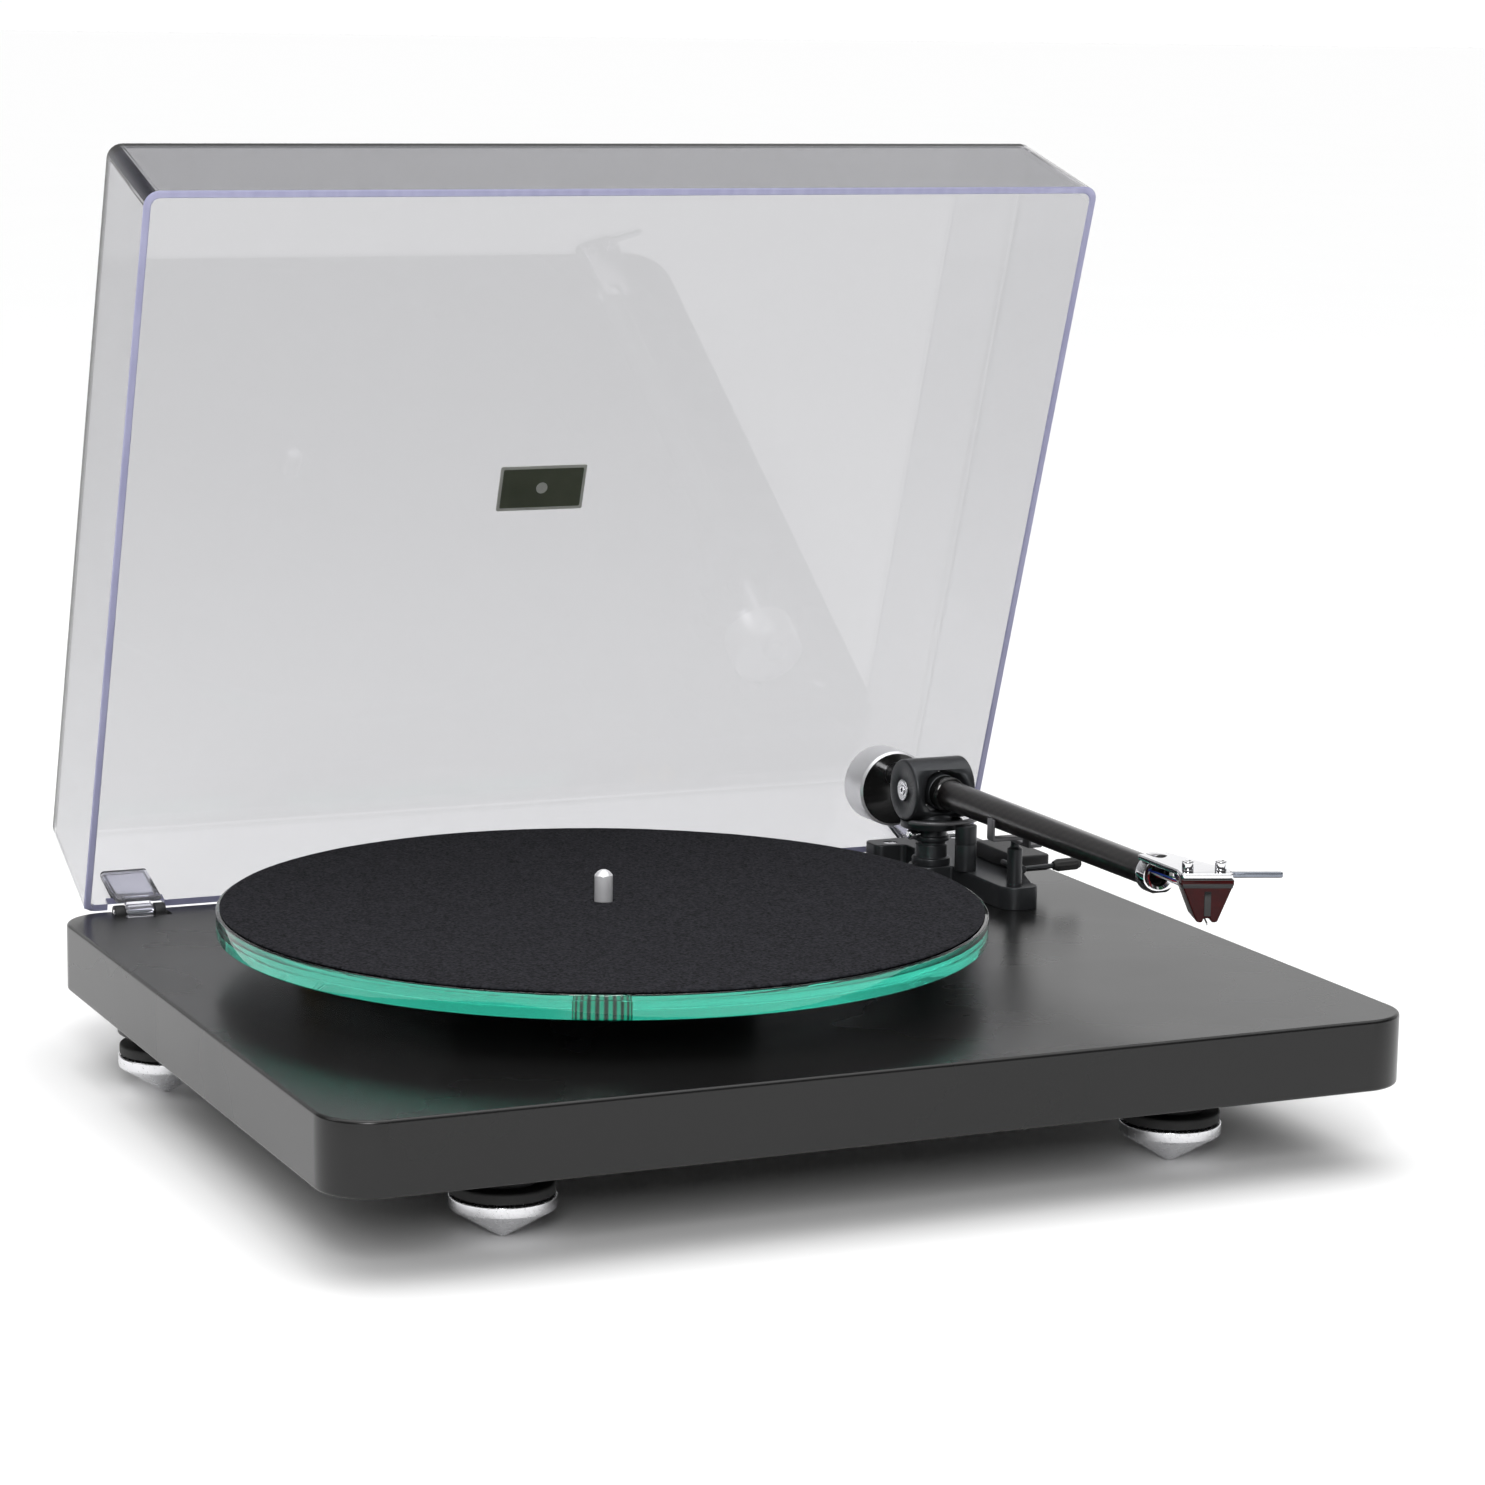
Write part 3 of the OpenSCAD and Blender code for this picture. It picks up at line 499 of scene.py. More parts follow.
class Shape:
    """A mesh being built, with local sizes in millimetres."""

    def __init__(self):
        self.bm = bmesh.new()
        self.uv = self.bm.loops.layers.uv.new("UVMap")

    def face(self, verts, material=0, uvs=()):
        try:
            f = self.bm.faces.new(verts)
        except ValueError:
            return
        f.material_index = material
        for loop, uv in zip(f.loops, uvs):
            loop[self.uv].uv = uv

    def ring(self, points):
        return [self.bm.verts.new(p) for p in points]

    def bridge(self, a, b, material=0):
        for i in range(len(a)):
            j = (i + 1) % len(a)
            self.face([a[i], a[j], b[j], b[i]], material)

    def lathe(self, profile, at=Matrix(), segments=96, material=0, closed=False, flute=None):
        """Turns (radius, height) points about local Z. flute(angle, radius, height) may
        change a radius. The UVs are metres round the piece and along its profile."""
        rings = []
        for r, h in profile:
            if r < 1e-6:
                rings.append(self.ring([at @ metres(0, 0, h)]))
                continue
            points = []
            for i in range(segments):
                t = 2 * math.pi * i / segments
                wide = flute(t, r, h) if flute else r
                points.append(at @ metres(wide * math.cos(t), wide * math.sin(t), h))
            rings.append(self.ring(points))
        travelled = [0.0]
        for (r0, h0), (r1, h1) in zip(profile, profile[1:] + profile[:1]):
            travelled.append(travelled[-1] + math.hypot(r1 - r0, h1 - h0) * MM)
        for k in range(len(rings) if closed else len(rings) - 1):
            following = (k + 1) % len(rings)
            around = 2 * math.pi * max(profile[k][0], profile[following][0]) * MM
            self.lathe_band(rings[k], rings[following], travelled[k:k + 2], around, segments, material)
        return self

    def lathe_band(self, a, b, heights, around, segments, material):
        """The faces between two rings. A ring of one point is a pole on the axis."""
        va, vb = heights
        for i in range(segments):
            j = (i + 1) % segments
            ua, ub = around * i / segments, around * (i + 1) / segments
            if len(a) == 1:
                self.face([a[0], b[i], b[j]], material, [(ua, va), (ua, vb), (ub, vb)])
            elif len(b) == 1:
                self.face([a[i], b[0], a[j]], material, [(ua, va), (ua, vb), (ub, va)])
            else:
                corners = [(ua, va), (ua, vb), (ub, vb), (ub, va)]
                self.face([a[i], b[i], b[j], a[j]], material, corners)

    def rings(self, loops, material=0, wrap=False):
        """Joins closed loops of world points. The ends are capped, or joined with wrap."""
        made = [self.ring(loop) for loop in loops]
        for a, b in zip(made, made[1:] + made[:1] if wrap else made[1:]):
            self.bridge(a, b, material)
        if not wrap:
            self.face(list(reversed(made[0])), material)
            self.face(made[-1], material)
        return self

    def slab(self, outline, low, high, edge=0.3, at=Matrix(), steps=4, material=0, low_edge=None):
        """An outline with rounded edges, from height low to high."""
        low_edge = edge if low_edge is None else low_edge
        turns = [math.pi / 2 * i / steps for i in range(steps + 1)]
        levels = [(low_edge * (1 - math.sin(t)), low + low_edge * (1 - math.cos(t))) for t in turns]
        levels += [(edge * (1 - math.cos(t)), high - edge * (1 - math.sin(t))) for t in turns]
        loops = []
        for shrink, z in levels:
            loops.append([at @ metres(x, y, z) for x, y in inset(outline, shrink)])
        return self.rings(loops, material)

    def brick(self, low, high, edge=0.3, at=Matrix(), material=0, corner=None):
        """A block with rounded edges between two corners."""
        corner = edge * 1.2 if corner is None else corner
        outline = rounded_rect(high[0] - low[0], high[1] - low[1], max(corner, edge * 1.05), 4)
        mid_x, mid_y = (low[0] + high[0]) / 2, (low[1] + high[1]) / 2
        placed = [(x + mid_x, y + mid_y) for x, y in outline]
        return self.slab(placed, low[2], high[2], edge, at, 3, material)

    def rod(self, points, radius, sides):
        """A round rod along world points in metres, with its radius in millimetres."""
        loops = []
        normal = None
        for i, p in enumerate(points):
            along = (points[min(i + 1, len(points) - 1)] - points[max(i - 1, 0)]).normalized()
            if normal is None:
                normal = along.orthogonal().normalized()
            normal = (normal - along * normal.dot(along)).normalized()
            other = along.cross(normal)
            turns = [2 * math.pi * k / sides for k in range(sides)]
            loops.append([p + (normal * math.cos(t) + other * math.sin(t)) * radius * MM for t in turns])
        return self.rings(loops)

    def done(self, name, body, slot, materials, replaces=(), sharp=32):
        """Makes the piece. Edges that turn by more than sharp degrees stay sharp."""
        bm = self.bm
        bmesh.ops.remove_doubles(bm, verts=bm.verts, dist=WELD)
        bmesh.ops.recalc_face_normals(bm, faces=bm.faces)
        for f in bm.faces:
            f.smooth = True
        for e in bm.edges:
            e.smooth = len(e.link_faces) == 2 and e.calc_face_angle(0) < math.radians(sharp)
        obj = self.to_object(name)
        for m in materials:
            obj.data.materials.append(m)
        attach(obj, body)
        if replaces:
            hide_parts(*replaces)
        return obj

    def to_object(self, name):
        mesh = bpy.data.meshes.new(name)
        self.bm.to_mesh(mesh)
        self.bm.free()
        obj = bpy.data.objects.new(name, mesh)
        bpy.context.scene.collection.objects.link(obj)
        return obj


def carve(obj, cutters):
    """Cuts closed shapes out of a piece and keeps its materials."""
    for cutter in cutters:
        bmesh.ops.recalc_face_normals(cutter.bm, faces=cutter.bm.faces)
        tool = cutter.to_object("cutter")
        mod = obj.modifiers.new("cut", "BOOLEAN")
        mod.operation = "DIFFERENCE"
        mod.solver = "EXACT"
        mod.object = tool
        bpy.context.view_layer.update()
        depsgraph = bpy.context.evaluated_depsgraph_get()
        result = bpy.data.meshes.new_from_object(obj.evaluated_get(depsgraph))
        obj.modifiers.clear()
        for f in result.polygons:
            if f.area > FLAT_AREA:
                f.use_smooth = False
        obj.data = result
        bpy.data.objects.remove(tool)


def dress(node, material):
    """Gives a CAD node that keeps its own mesh a better material."""
    obj = frame["nodes"][node]
    obj.data.materials.clear()
    obj.data.materials.append(material)


def socket_head(shape, at, r, h, across):
    """A cap-head screw with a hexagon socket, its underside at local zero."""
    sides = 36
    outer = rounded([(0, 0), (r, 0, 0.15), (r, h, 0.35), (across * 0.62, h, 0.1)], False, 3)
    rings = [circle(at, radius, z, sides) for radius, z in outer if radius > 0]
    for z in (h, h - 0.15, h * 0.35):
        grow = 1.0 if z < h else 1.12
        hexagon = []
        for i in range(sides):
            t = 2 * math.pi * i / sides
            wide = grow * across / 2 / math.cos(t % (math.pi / 3) - math.pi / 6)
            hexagon.append(at @ metres(wide * math.cos(t), wide * math.sin(t), z))
        rings.append(hexagon)
    shape.rings(rings)


# ---------------------------------------------------------------- plinth and feet

LIFT = 0.02          # pieces that stand on another one start this far above it
HINGE_HALF = 10.6    # half the width of a hinge
HINGE_X = size_mm("hinge_pins").x / 2 - HINGE_HALF
HINGES = (-HINGE_X, HINGE_X)


def hinge_notches():
    """The openings in the plinth's rear edge that the hinge bases stand in."""
    low = box_mm("hinge_bases")[0]
    half = HINGE_HALF + 0.7
    return [Shape().brick((x - half, low.y - 0.4, low.z - 0.2),
                          (x + half, PLINTH_HIGH.y + 2, PLINTH_HIGH.z + 2), 0.2, corner=0.8)
            for x in HINGES]


def build_plinth():
    corner, edge = 20, 1.3
    bottom, top = PLINTH_LOW.z, PLINTH_HIGH.z
    span = size_mm("plinth")
    outline = rounded_rect(span.x, span.y, corner, 24)
    slab = Shape().slab(outline, bottom, top, edge, upright(centre("plinth")), 5)
    plinth = slab.done("plinth_slab", "base", "plinth_lacquer", [LACQUER], ["plinth"], 40)

    low, high = box_mm("switch_housing")
    gap, below = 0.15, 3
    switch = Shape().brick((low.x - gap, low.y - gap, low.z - below - gap),
                           (high.x + gap, high.y + gap, high.z + gap), 0.1, corner=0.5)
    can_r, shaft_r, can_top = 20.5, 5, bottom + 24
    motor = Shape().lathe([(0, bottom - 1), (can_r, bottom - 1), (can_r, can_top), (shaft_r, can_top),
                           (shaft_r, top + 1), (0, top + 1)], upright(centre("motor_can")), 48)
    bearing = Shape().lathe(cylinder(11.1, bottom - 1, top + 1), upright(centre("bearing_housing")), 48)
    carve(plinth, hinge_notches() + [switch, motor, bearing])


FOOT_CORNERS = ("front_left", "front_right", "rear_left", "rear_right")


def build_foot(corner):
    """A turned cone that ends in a silver ring, and a black disc with a neck above it."""
    at = upright(centre("foot_cone_" + corner))
    r = size_mm("foot_cone_" + corner).x / 2
    tip_r, cone_top, ring_top, seat_r, seat_top = 1.5, 11.5, 15.6, 15.2, 16.1
    cone = rounded([(0, 0), (tip_r, 0, 0.5), (r - 0.25, cone_top - 0.6, 0.35), (r, cone_top, 0.3),
                    (r, ring_top - 0.1, 0.5), (seat_r, ring_top, 0.2), (seat_r, seat_top), (0, seat_top)],
                   False, 5)
    Shape().lathe(cone, at, 128).done("cone_" + corner, "foot_" + corner, "turned_aluminium",
                                      [ALUMINIUM], ["foot_cone_" + corner], 28)
    r = size_mm("foot_disc_" + corner).x / 2
    disc_low, disc_top, stem_r, stem_top = seat_top + 0.05, 20.1, 4, 42
    disc = rounded([(0, disc_low), (r, disc_low, 0.5), (r, disc_top, 0.9), (12.4, disc_top + 0.2, 0.5),
                    (12.0, 22.3, 0.3), (stem_r, 22.35, 0.2), (stem_r, stem_top), (0, stem_top)], False, 5)
    Shape().lathe(disc, at, 96).done("disc_" + corner, "foot_" + corner, "belt_rubber",
                                     [RUBBER], ["foot_disc_" + corner], 28)


def build_feet():
    for corner in FOOT_CORNERS:
        build_foot(corner)
    bore, low, shoulder, top, outer = 4.4, 22.7, 24.6, 32.15, 19.5
    cup = rounded([(bore, low, 0.3), (16.6, low, 0.5), (17.6, shoulder - 0.6, 0.6), (outer, shoulder, 0.8),
                   (outer, top - 0.95, 0.8), (outer - 0.7, top, 0.2), (bore, top, 0.2)], True, 4)
    cups = Shape()
    for corner in FOOT_CORNERS:
        cups.lathe(cup, upright(centre("foot_cone_" + corner)), 96, closed=True)
    cups.done("damper_cups", "base", "black_plastic", [PLASTIC], ["foot_cups"], 28)


# ---------------------------------------------------------------- platter

HUB_BORE = 3.75


def build_glass(at):
    low, high = box_mm("glass_platter")
    z0, z1, r = low.z, high.z, (high.x - low.x) / 2
    hole = 7.6
    glass = rounded([(hole, z0, 0.1), (r, z0, 0.6), (r, z1, 0.5), (hole, z1, 0.1)], True, 4)
    Shape().lathe(glass, at, 256, closed=True).done(
        "glass_disc", "platter", "green_glass", [GLASS], ["glass_platter"], 24)
    hub = tube(HUB_BORE, hole + 0.03, z0 + 0.3, z1 - 0.3)
    Shape().lathe(hub, at, 128, closed=True).done("glass_hub", "platter", "black_plastic", [BUSH_PAINTED_GLOW])


def build_felt(at):
    """The mat: a soft edge, a slightly uneven top and a puckered rise round the spindle."""
    low, high = box_mm("felt_mat")
    z0, z1, r = low.z, high.z, (high.x - low.x) / 2
    profile = [(HUB_BORE, z0 + LIFT), (r - 0.5, z0 + LIFT), (r - 0.1, z0 + 0.25), (r, z0 + 0.5),
               (r - 0.1, z1 - 0.3), (r - 0.35, z1 - 0.12), (r - 1.0, z1 - 0.04)]
    profile += [(r * (1 - t / 60) - 1.0, z1 - 0.02) for t in range(1, 56)]
    profile += [(9.5, z1 + 0.1), (6.6, z1 + 0.6), (4.9, z1 + 0.9), (4.2, z1 + 0.55), (HUB_BORE, z1 - 0.1)]
    mat = Shape().lathe(profile, at, 256, closed=True)
    for v in mat.bm.verts:
        flat = Vector((v.co.x, v.co.y, 0))
        if v.co.z > (z1 - 0.4) * MM:
            v.co.z += (noise.noise(flat * 35) * 0.08 + noise.noise(flat * 400) * 0.05) * MM
        elif v.co.z > (z0 + 0.2) * MM:
            away = (flat - metres(SPINDLE.x, SPINDLE.y, 0)).normalized()
            v.co += away * noise.noise(flat * 300) * 0.12 * MM
    mat = mat.done("felt_disc", "platter", "felt", [FELT], ["felt_mat"], 60)


def build_spindle(at):
    low, high = box_mm("spindle")
    neck, top = box_mm("glass_platter")[1].z, high.z
    shaft_r, waist_r, pin_r = 4, 3.37, 3.57
    pin = rounded([(0, low.z), (shaft_r, low.z, 0.5), (shaft_r, neck - 9.5), (waist_r, neck - 9.5),
                   (waist_r, neck + 1.3), (pin_r, neck + 1.35, 0.1), (pin_r, top - 2.2, 0.6),
                   (2.4, top - 0.8, 0.8), (1.2, top - 0.1, 0.6), (0, top)], False, 6)
    Shape().lathe(pin, at, 64).done("spindle_pin", "platter", "chrome", [SATIN_STEEL], ["spindle"], 40)


def build_sub_platter(at):
    low, high = box_mm("sub_platter")
    z0, z1, r = low.z, high.z, (high.x - low.x) / 2
    bore, seat_r = 3.7, 40
    sub = rounded([(bore, z0), (r - 8, z0, 0.5), (r - 7, z0 + 1, 0.5), (r, z0 + 1, 0.4),
                   (r, z1 - 1.8, 0.5), (r - 3, z1 - 1.7, 0.5), (seat_r, z1 - 1.6, 0.3),
                   (seat_r, z1 - 0.05, 0.4), (bore, z1 - 0.05)], True, 3)
    Shape().lathe(sub, at, 128, closed=True).done(
        "sub_disc", "platter", "black_plastic", [PLASTIC], ["sub_platter"], 28)


def build_platter():
    at = upright(SPINDLE)
    build_glass(at)
    build_felt(at)
    build_spindle(at)
    build_sub_platter(at)


# ---------------------------------------------------------------- dust cover

LID_WALL = 3.0
SIDE_DRAFT, FRONT_DRAFT, REAR_DRAFT = 1.7, 2.6, 5.0
LID_RELIEF = 4.0
LID_ARM = Matrix.Translation(metres(*LID_PIVOT))
OPENING = LID_ARM @ Matrix.Rotation(-LID_OPEN, 4, "X") @ LID_ARM.inverted()
CLOSING = OPENING.inverted()


def closed_box(node):
    """A cover node's box in millimetres with the cover turned down on the plinth."""
    points = [CLOSING @ v.co for v in frame["nodes"][node].data.vertices]
    columns = list(zip(*points))
    return in_mm(min(c) for c in columns), in_mm(max(c) for c in columns)


def cover_walls(low, high):
    """The cover's outer loops from its rim up, and its inner ones from its top down."""
    height = high.z - low.z
    corner, bevel, outer_round, inner_round = 6.0, 0.5, 3.0, 1.5
    inner_corner = corner - 2.4

    def loop(above_rim, shrink, radius):
        k = above_rim / height
        front = low.y + FRONT_DRAFT * k + shrink
        back = high.y - REAR_DRAFT * k - shrink
        wide = high.x - low.x - 2 * SIDE_DRAFT * k - 2 * shrink
        outline = rounded_rect(wide, back - front, radius, 6)
        return [OPENING @ metres(x, y + (front + back) / 2, low.z + above_rim) for x, y in outline]

    outer = [loop(0, bevel, corner - bevel), loop(bevel, 0, corner)]
    for t in range(7):
        a = math.pi / 2 * t / 6
        shrink = outer_round * (1 - math.cos(a))
        outer.append(loop(height - outer_round * (1 - math.sin(a)), shrink, corner - shrink * 0.6))
    inner = []
    for t in range(6):
        a = math.pi / 2 * (1 - t / 5)
        shrink = inner_round * (1 - math.cos(a))
        inner.append(loop(height - LID_WALL - inner_round * (1 - math.sin(a)),
                          LID_WALL + shrink, inner_corner - shrink * 0.5))
    inner.append(loop(bevel, LID_WALL, inner_corner))
    inner.append(loop(0, LID_WALL - bevel, inner_corner + bevel))
    return outer, inner


def mark_cover_edges(bm, low, high):
    """Gives the cut rim its pale material, which is painted light, and the left and front corners the dark
    one, which is painted shade.
    """
    inside = OPENING @ metres(*((a + b) / 2 for a, b in zip(low, high)))
    rim_top = (low.z + 0.7) * MM
    for f in bm.faces:
        # faces low at the rim get material 1, the pale violet painted light
        if max((CLOSING @ v.co).z for v in f.verts) < rim_top:
            f.material_index = 1
            continue
        f.normal_update()
        outward = f.normal if f.normal.dot(f.calc_center_median() - inside) > 0 else -f.normal
        turned = CLOSING.to_3x3() @ outward
        slanting = max(abs(v) for v in turned) < 0.93
        # painted shade: the slanting faces that face left and front get the near-black material, as dark
        # lines along the bent corners
        if slanting and turned.x < 0.1 and turned.y < 0.1:
            f.material_index = 2


def build_cover():
    low, high = closed_box("dust_cover")
    rim, back, half = low.z, high.y, (high.x - low.x) / 2
    s = Shape()
    outer, inner = [[s.ring(points) for points in wall] for wall in cover_walls(low, high)]
    for wall in (outer, inner):
        for a, b in zip(wall, wall[1:]):
            s.bridge(a, b)
    s.bridge(outer[0], inner[-1])
    s.face(outer[-1])
    s.face(inner[0])
    mark_cover_edges(s.bm, low, high)
    cover = s.done("clear_cover", "lid", "clear_acrylic", [ACRYLIC, RIM_PAINTED_LIGHT, CORNER_PAINTED_SHADE], ["dust_cover"], 34)
    # material 1 on the cutters gives the cut faces the pale painted rim light too
    relief = Shape().brick((-half - 5, back - LID_RELIEF, rim - 2),
                           (half + 5, back + 2, rim + LID_RELIEF), 0.05, OPENING, material=1)
    slots = [Shape().brick((x - 12, back - 5.8, rim - 2), (x + 12, back + 2, rim + 8), 0.3,
                           OPENING, material=1) for x in HINGES]
    carve(cover, [relief] + slots)
    build_pockets(rim, back)
    build_hinge_blades(rim, back)
    build_badge()


def build_pockets(rim, back):
    """Clear moulded pockets inside the cover that the hinge blades plug into."""
    for x, word in zip(HINGES, ("left", "right")):
        pocket = Shape().brick((x - 10, back - 7.2, rim + 0.3), (x + 10, back - 3.2, rim + 25), 1.2,
                               OPENING, corner=1.5)
        obj = pocket.done("hinge_pocket_" + word, "lid", "clear_acrylic", [POCKET], (), 34)
        hollow = Shape().brick((x - 8.6, back - 5.8, rim - 3), (x + 8.6, back - 3.4, rim + 23.5), 0.5,
                               OPENING, corner=0.8)
        below = Shape().brick((x - 12, back - 5.8, rim - 3), (x + 12, back - 2, rim + 8), 0.3, OPENING)
        carve(obj, [hollow, below])


def build_hinge_blades(rim, back):
    """Each blade, its knuckle round the pin and the arm that joins them."""
    y, z = LID_PIVOT.y, LID_PIVOT.z
    arm = rounded([(y - 0.4, z - 2.6), (y + 1, z + 2.4), (back - 3.8, rim + 5.2, 0.5),
                   (back - 5.4, rim + 5.2, 0.5), (back - 5.4, rim + 1.3, 0.6)], True, 3)
    from_side = Matrix(((0, 0, 1, 0), (1, 0, 0, 0), (0, 1, 0, 0), (0, 0, 0, 1)))
    knuckle = tube(1.6, 3.2, -5.4, 5.4, 0.2, 0.4)
    s = Shape()
    for x in HINGES:
        s.brick((x - 8.2, back - 5.5, rim + 3.2), (x + 8.2, back - 3.7, rim + 23), 0.5, OPENING, corner=0.8)
        s.lathe(knuckle, facing((x, y, z), (1, 0, 0)), 32, closed=True)
        s.slab(arm, x - 5.2, x + 5.2, 0.3, OPENING @ from_side, 2)
    s.done("hinge_blade_pair", "lid", "clear_acrylic", [POCKET], ["hinge_blades"], 34)


def build_badge():
    """A blank dark mirror plate in a thin lighter frame, with a plain turned button at its middle."""
    low, high = closed_box("badge_plate")
    at = OPENING @ Matrix.Translation(metres((low.x + high.x) / 2, (low.y + high.y) / 2, low.z))
    w, d = high.x - low.x, high.y - low.y
    plate, mirror = rounded_rect(w, d, 0.8, 3), rounded_rect(w - 2.6, d - 2.6, 0.6, 3)
    button_r = 2.6
    front = Shape().slab(plate, LIFT, 0.5, 0.15, at, 2)
    front.slab(mirror, 0.45, 0.6, 0.1, at, 2, material=1)
    front.lathe([(0, 0.5), (button_r, 0.5), (button_r - 0.2, 0.75), (0, 0.75)], at, 32)
    front.done("blank_badge", "lid", "badge_metal", [FRAME, BADGE], ["badge_plate"], 30)
    inside = at @ Matrix.Rotation(math.pi, 4, "X")
    back = Shape().slab(plate, -LIFT, 0.0, 0.005, inside, 1)
    back.slab(mirror, 0.0, 0.05, 0.01, inside, 1, material=1)
    back.lathe([(0, 0.02), (button_r, 0.02), (button_r - 0.1, 0.09), (0, 0.09)], inside, 32)
    back.done("badge_backing", "lid", "badge_metal", [FRAME, BADGE], (), 30)


def build_hinge_bases():
    """On the plinth: a foot for each hinge, with a knuckle and an ear at both of its ends."""
    low, high = box_mm("hinge_bases")
    y, z = LID_PIVOT.y, LID_PIVOT.z
    knuckle = tube(1.55, 3.2, -2.3, 2.3, 0.2, 0.5)
    s = Shape()
    for middle in HINGES:
        s.brick((middle - 10.8, low.y, low.z), (middle + 10.8, high.y, low.z + 5.2), 0.4)
        for x in (middle - 8.4, middle + 8.4):
            s.lathe(knuckle, facing((x, y, z), (1, 0, 0)), 40, closed=True)
            s.brick((x - 2.3, y - 3.1, low.z + 4.9), (x + 2.3, high.y, z - 0.6), 0.3)
    s.done("hinge_base_pair", "base", "black_plastic", [PLASTIC], ["hinge_bases"], 34)
    dress("hinge_pins", STEEL)


# ---------------------------------------------------------------- tonearm

ARM_PLATE = [          # measured from the tonearm's pivot, with corner radii
    (5.5, -59, 8), (21.5, -59, 8), (21.5, -51, 4), (36.5, -8, 10), (45, 1, 8), (45, 54.5, 8.5),
    (-5.5, 54.5, 4), (-5.5, 40.5, 4), (8, 40.5, 3), (8, 9.3, 2), (-9.3, 9.3, 9.2), (-9.3, -9.3, 9.2),
    (5.5, -9.3, 1)]


def build_arm_base():
    low, high = box_mm("arm_base")
    top = high.z
    outline = rounded([(PIVOT.x + x, PIVOT.y + y, radius) for x, y, radius in ARM_PLATE], True, 10)
    s = Shape().slab(outline, low.z + LIFT, top, 0.6, Matrix(), 4, low_edge=0.2)
    base = s.done("arm_base_plate", "base", "black_anodised", [ANODISED], ["arm_base"], 30)
    first, last = box_mm("arm_base_screws")
    r, sunk = 3, 1.8
    screws = [Place(first.x + r, last.y - r, top), Place(last.x - r, last.y - r, top),
              Place(last.x - r, first.y + r, top)]
    carve(base, [Shape().lathe(cylinder(r + 0.2, top - sunk, top + 2), upright(p), 32) for p in screws])
    heads = Shape()
    for p in screws:
        socket_head(heads, Matrix.Translation(metres(p.x, p.y, top - sunk + 0.05)), r, 1.6, 1.4)
    heads.done("base_screw_heads", "base", "chrome", [CHROME], ["arm_base_screws"], 30)


def build_column():
    low, high = box_mm("arm_column")
    z, top = low.z, high.z
    bore, foot_r, stem_r, ring_r, head_r = 4.1, 8.2, 6.9, 7.8, 6.6
    profile = rounded([(bore, z + LIFT), (foot_r, z + LIFT, 0.2), (foot_r, z + 3.1, 0.6),
                       (stem_r, z + 3.3, 0.3), (stem_r, z + 8.7, 0.4), (6.2, z + 8.9, 0.2),
                       (6.2, z + 10.4, 0.2), (ring_r, z + 10.5, 0.3), (ring_r, z + 12.5, 0.6),
                       (head_r, z + 12.6, 0.2), (head_r, top, 0.3), (bore, top)], True, 4)
    Shape().lathe(profile, upright(PIVOT), 96, closed=True).done(
        "bearing_column", "base", "black_anodised", [ANODISED], ["arm_column"], 28)


def build_column_screw():
    low = box_mm("height_screw")[0]
    mid = centre("height_screw")
    length, r = 4, 2.2
    out = facing((low.x + length, mid.y, mid.z), (-1, 0, 0))
    knob = rounded([(0, 0), (2.0, 0, 0.3), (r, 0.5, 0.2), (r, 3.3, 0.5), (1.4, length, 0.3), (0, length)],
                   False, 3)
    s = Shape().lathe(knob, out, 48)
    s.lathe(cylinder(0.95, -1.6, 0.1), out, 24)
    s.done("column_screw", "base", "chrome", [CHROME], ["height_screw"], 30)


def build_lift_cylinder():
    low, high = box_mm("lift_cylinder")
    z, top, r, bore, groove = low.z, high.z, (high.x - low.x) / 2, 2.1, low.z + 11.2
    lift = rounded([(bore, z + LIFT), (r, z + LIFT, 0.2), (r, groove, 0.1), (r - 0.2, groove + 0.1),
                    (r - 0.2, groove + 0.4), (r, groove + 0.5, 0.1), (r, top, 0.5), (bore, top, 0.3)],
                   True, 4)
    Shape().lathe(lift, upright(centre("lift_cylinder")), 96, closed=True).done(
        "lift_cylinder_tube", "base", "black_anodised", [ANODISED], ["lift_cylinder"], 28)


def build_lift_housing():
    lo, hi = box_mm("lift_housing")
    s = Shape().brick((hi.x - 16.5, lo.y + 4, lo.z + LIFT), (hi.x, hi.y, lo.z + 7), 0.8, corner=1.6)
    s.brick((hi.x - 21.7, lo.y + 0.5, lo.z + LIFT), (hi.x - 12.5, lo.y + 12, lo.z + 9.5), 0.6, corner=1)
    boss_r = 5.4
    s.lathe(cylinder(boss_r, 0, 13, 0.8, 0.8, 5),
            facing((lo.x + boss_r, lo.y, hi.z - boss_r), (0, 1, 0)), 72)
    housing = s.done("lift_block", "base", "black_plastic", [PLASTIC], ["lift_housing"], 30)
    lever = joint_place("cue_turn")
    bore = Shape().lathe(cylinder(1.3, -2, 11), facing((lever.x, lo.y, lever.z), (0, 1, 0)), 32)
    carve(housing, [bore])


def build_lift_bar():
    """A curved bar on the lift's plunger, concentric with the tonearm's column."""
    top = box_mm("lift_bar")[1].z
    low = top - 1.4
    start, end, steps = -145, -50, 28
    outline = []
    for radius, first, last in ((21, start, end), (18, end, start)):
        for i in range(steps + 1):
            t = math.radians(first + (last - first) * i / steps)
            outline.append((PIVOT.x + radius * math.cos(t), PIVOT.y + radius * math.sin(t)))
    bar = Shape().slab(outline, low, top, 0.3, Matrix(), 2)
    plunger_foot = 75.3
    plunger = rounded([(0, plunger_foot), (2, plunger_foot, 0.3), (2, low + 0.3), (0, low + 0.3)], False, 3)
    bar.lathe(plunger, upright(centre("lift_cylinder")), 32)
    bar.done("lift_arc", "lift", "black_anodised", [ANODISED_LIGHT], ["lift_bar"], 30)


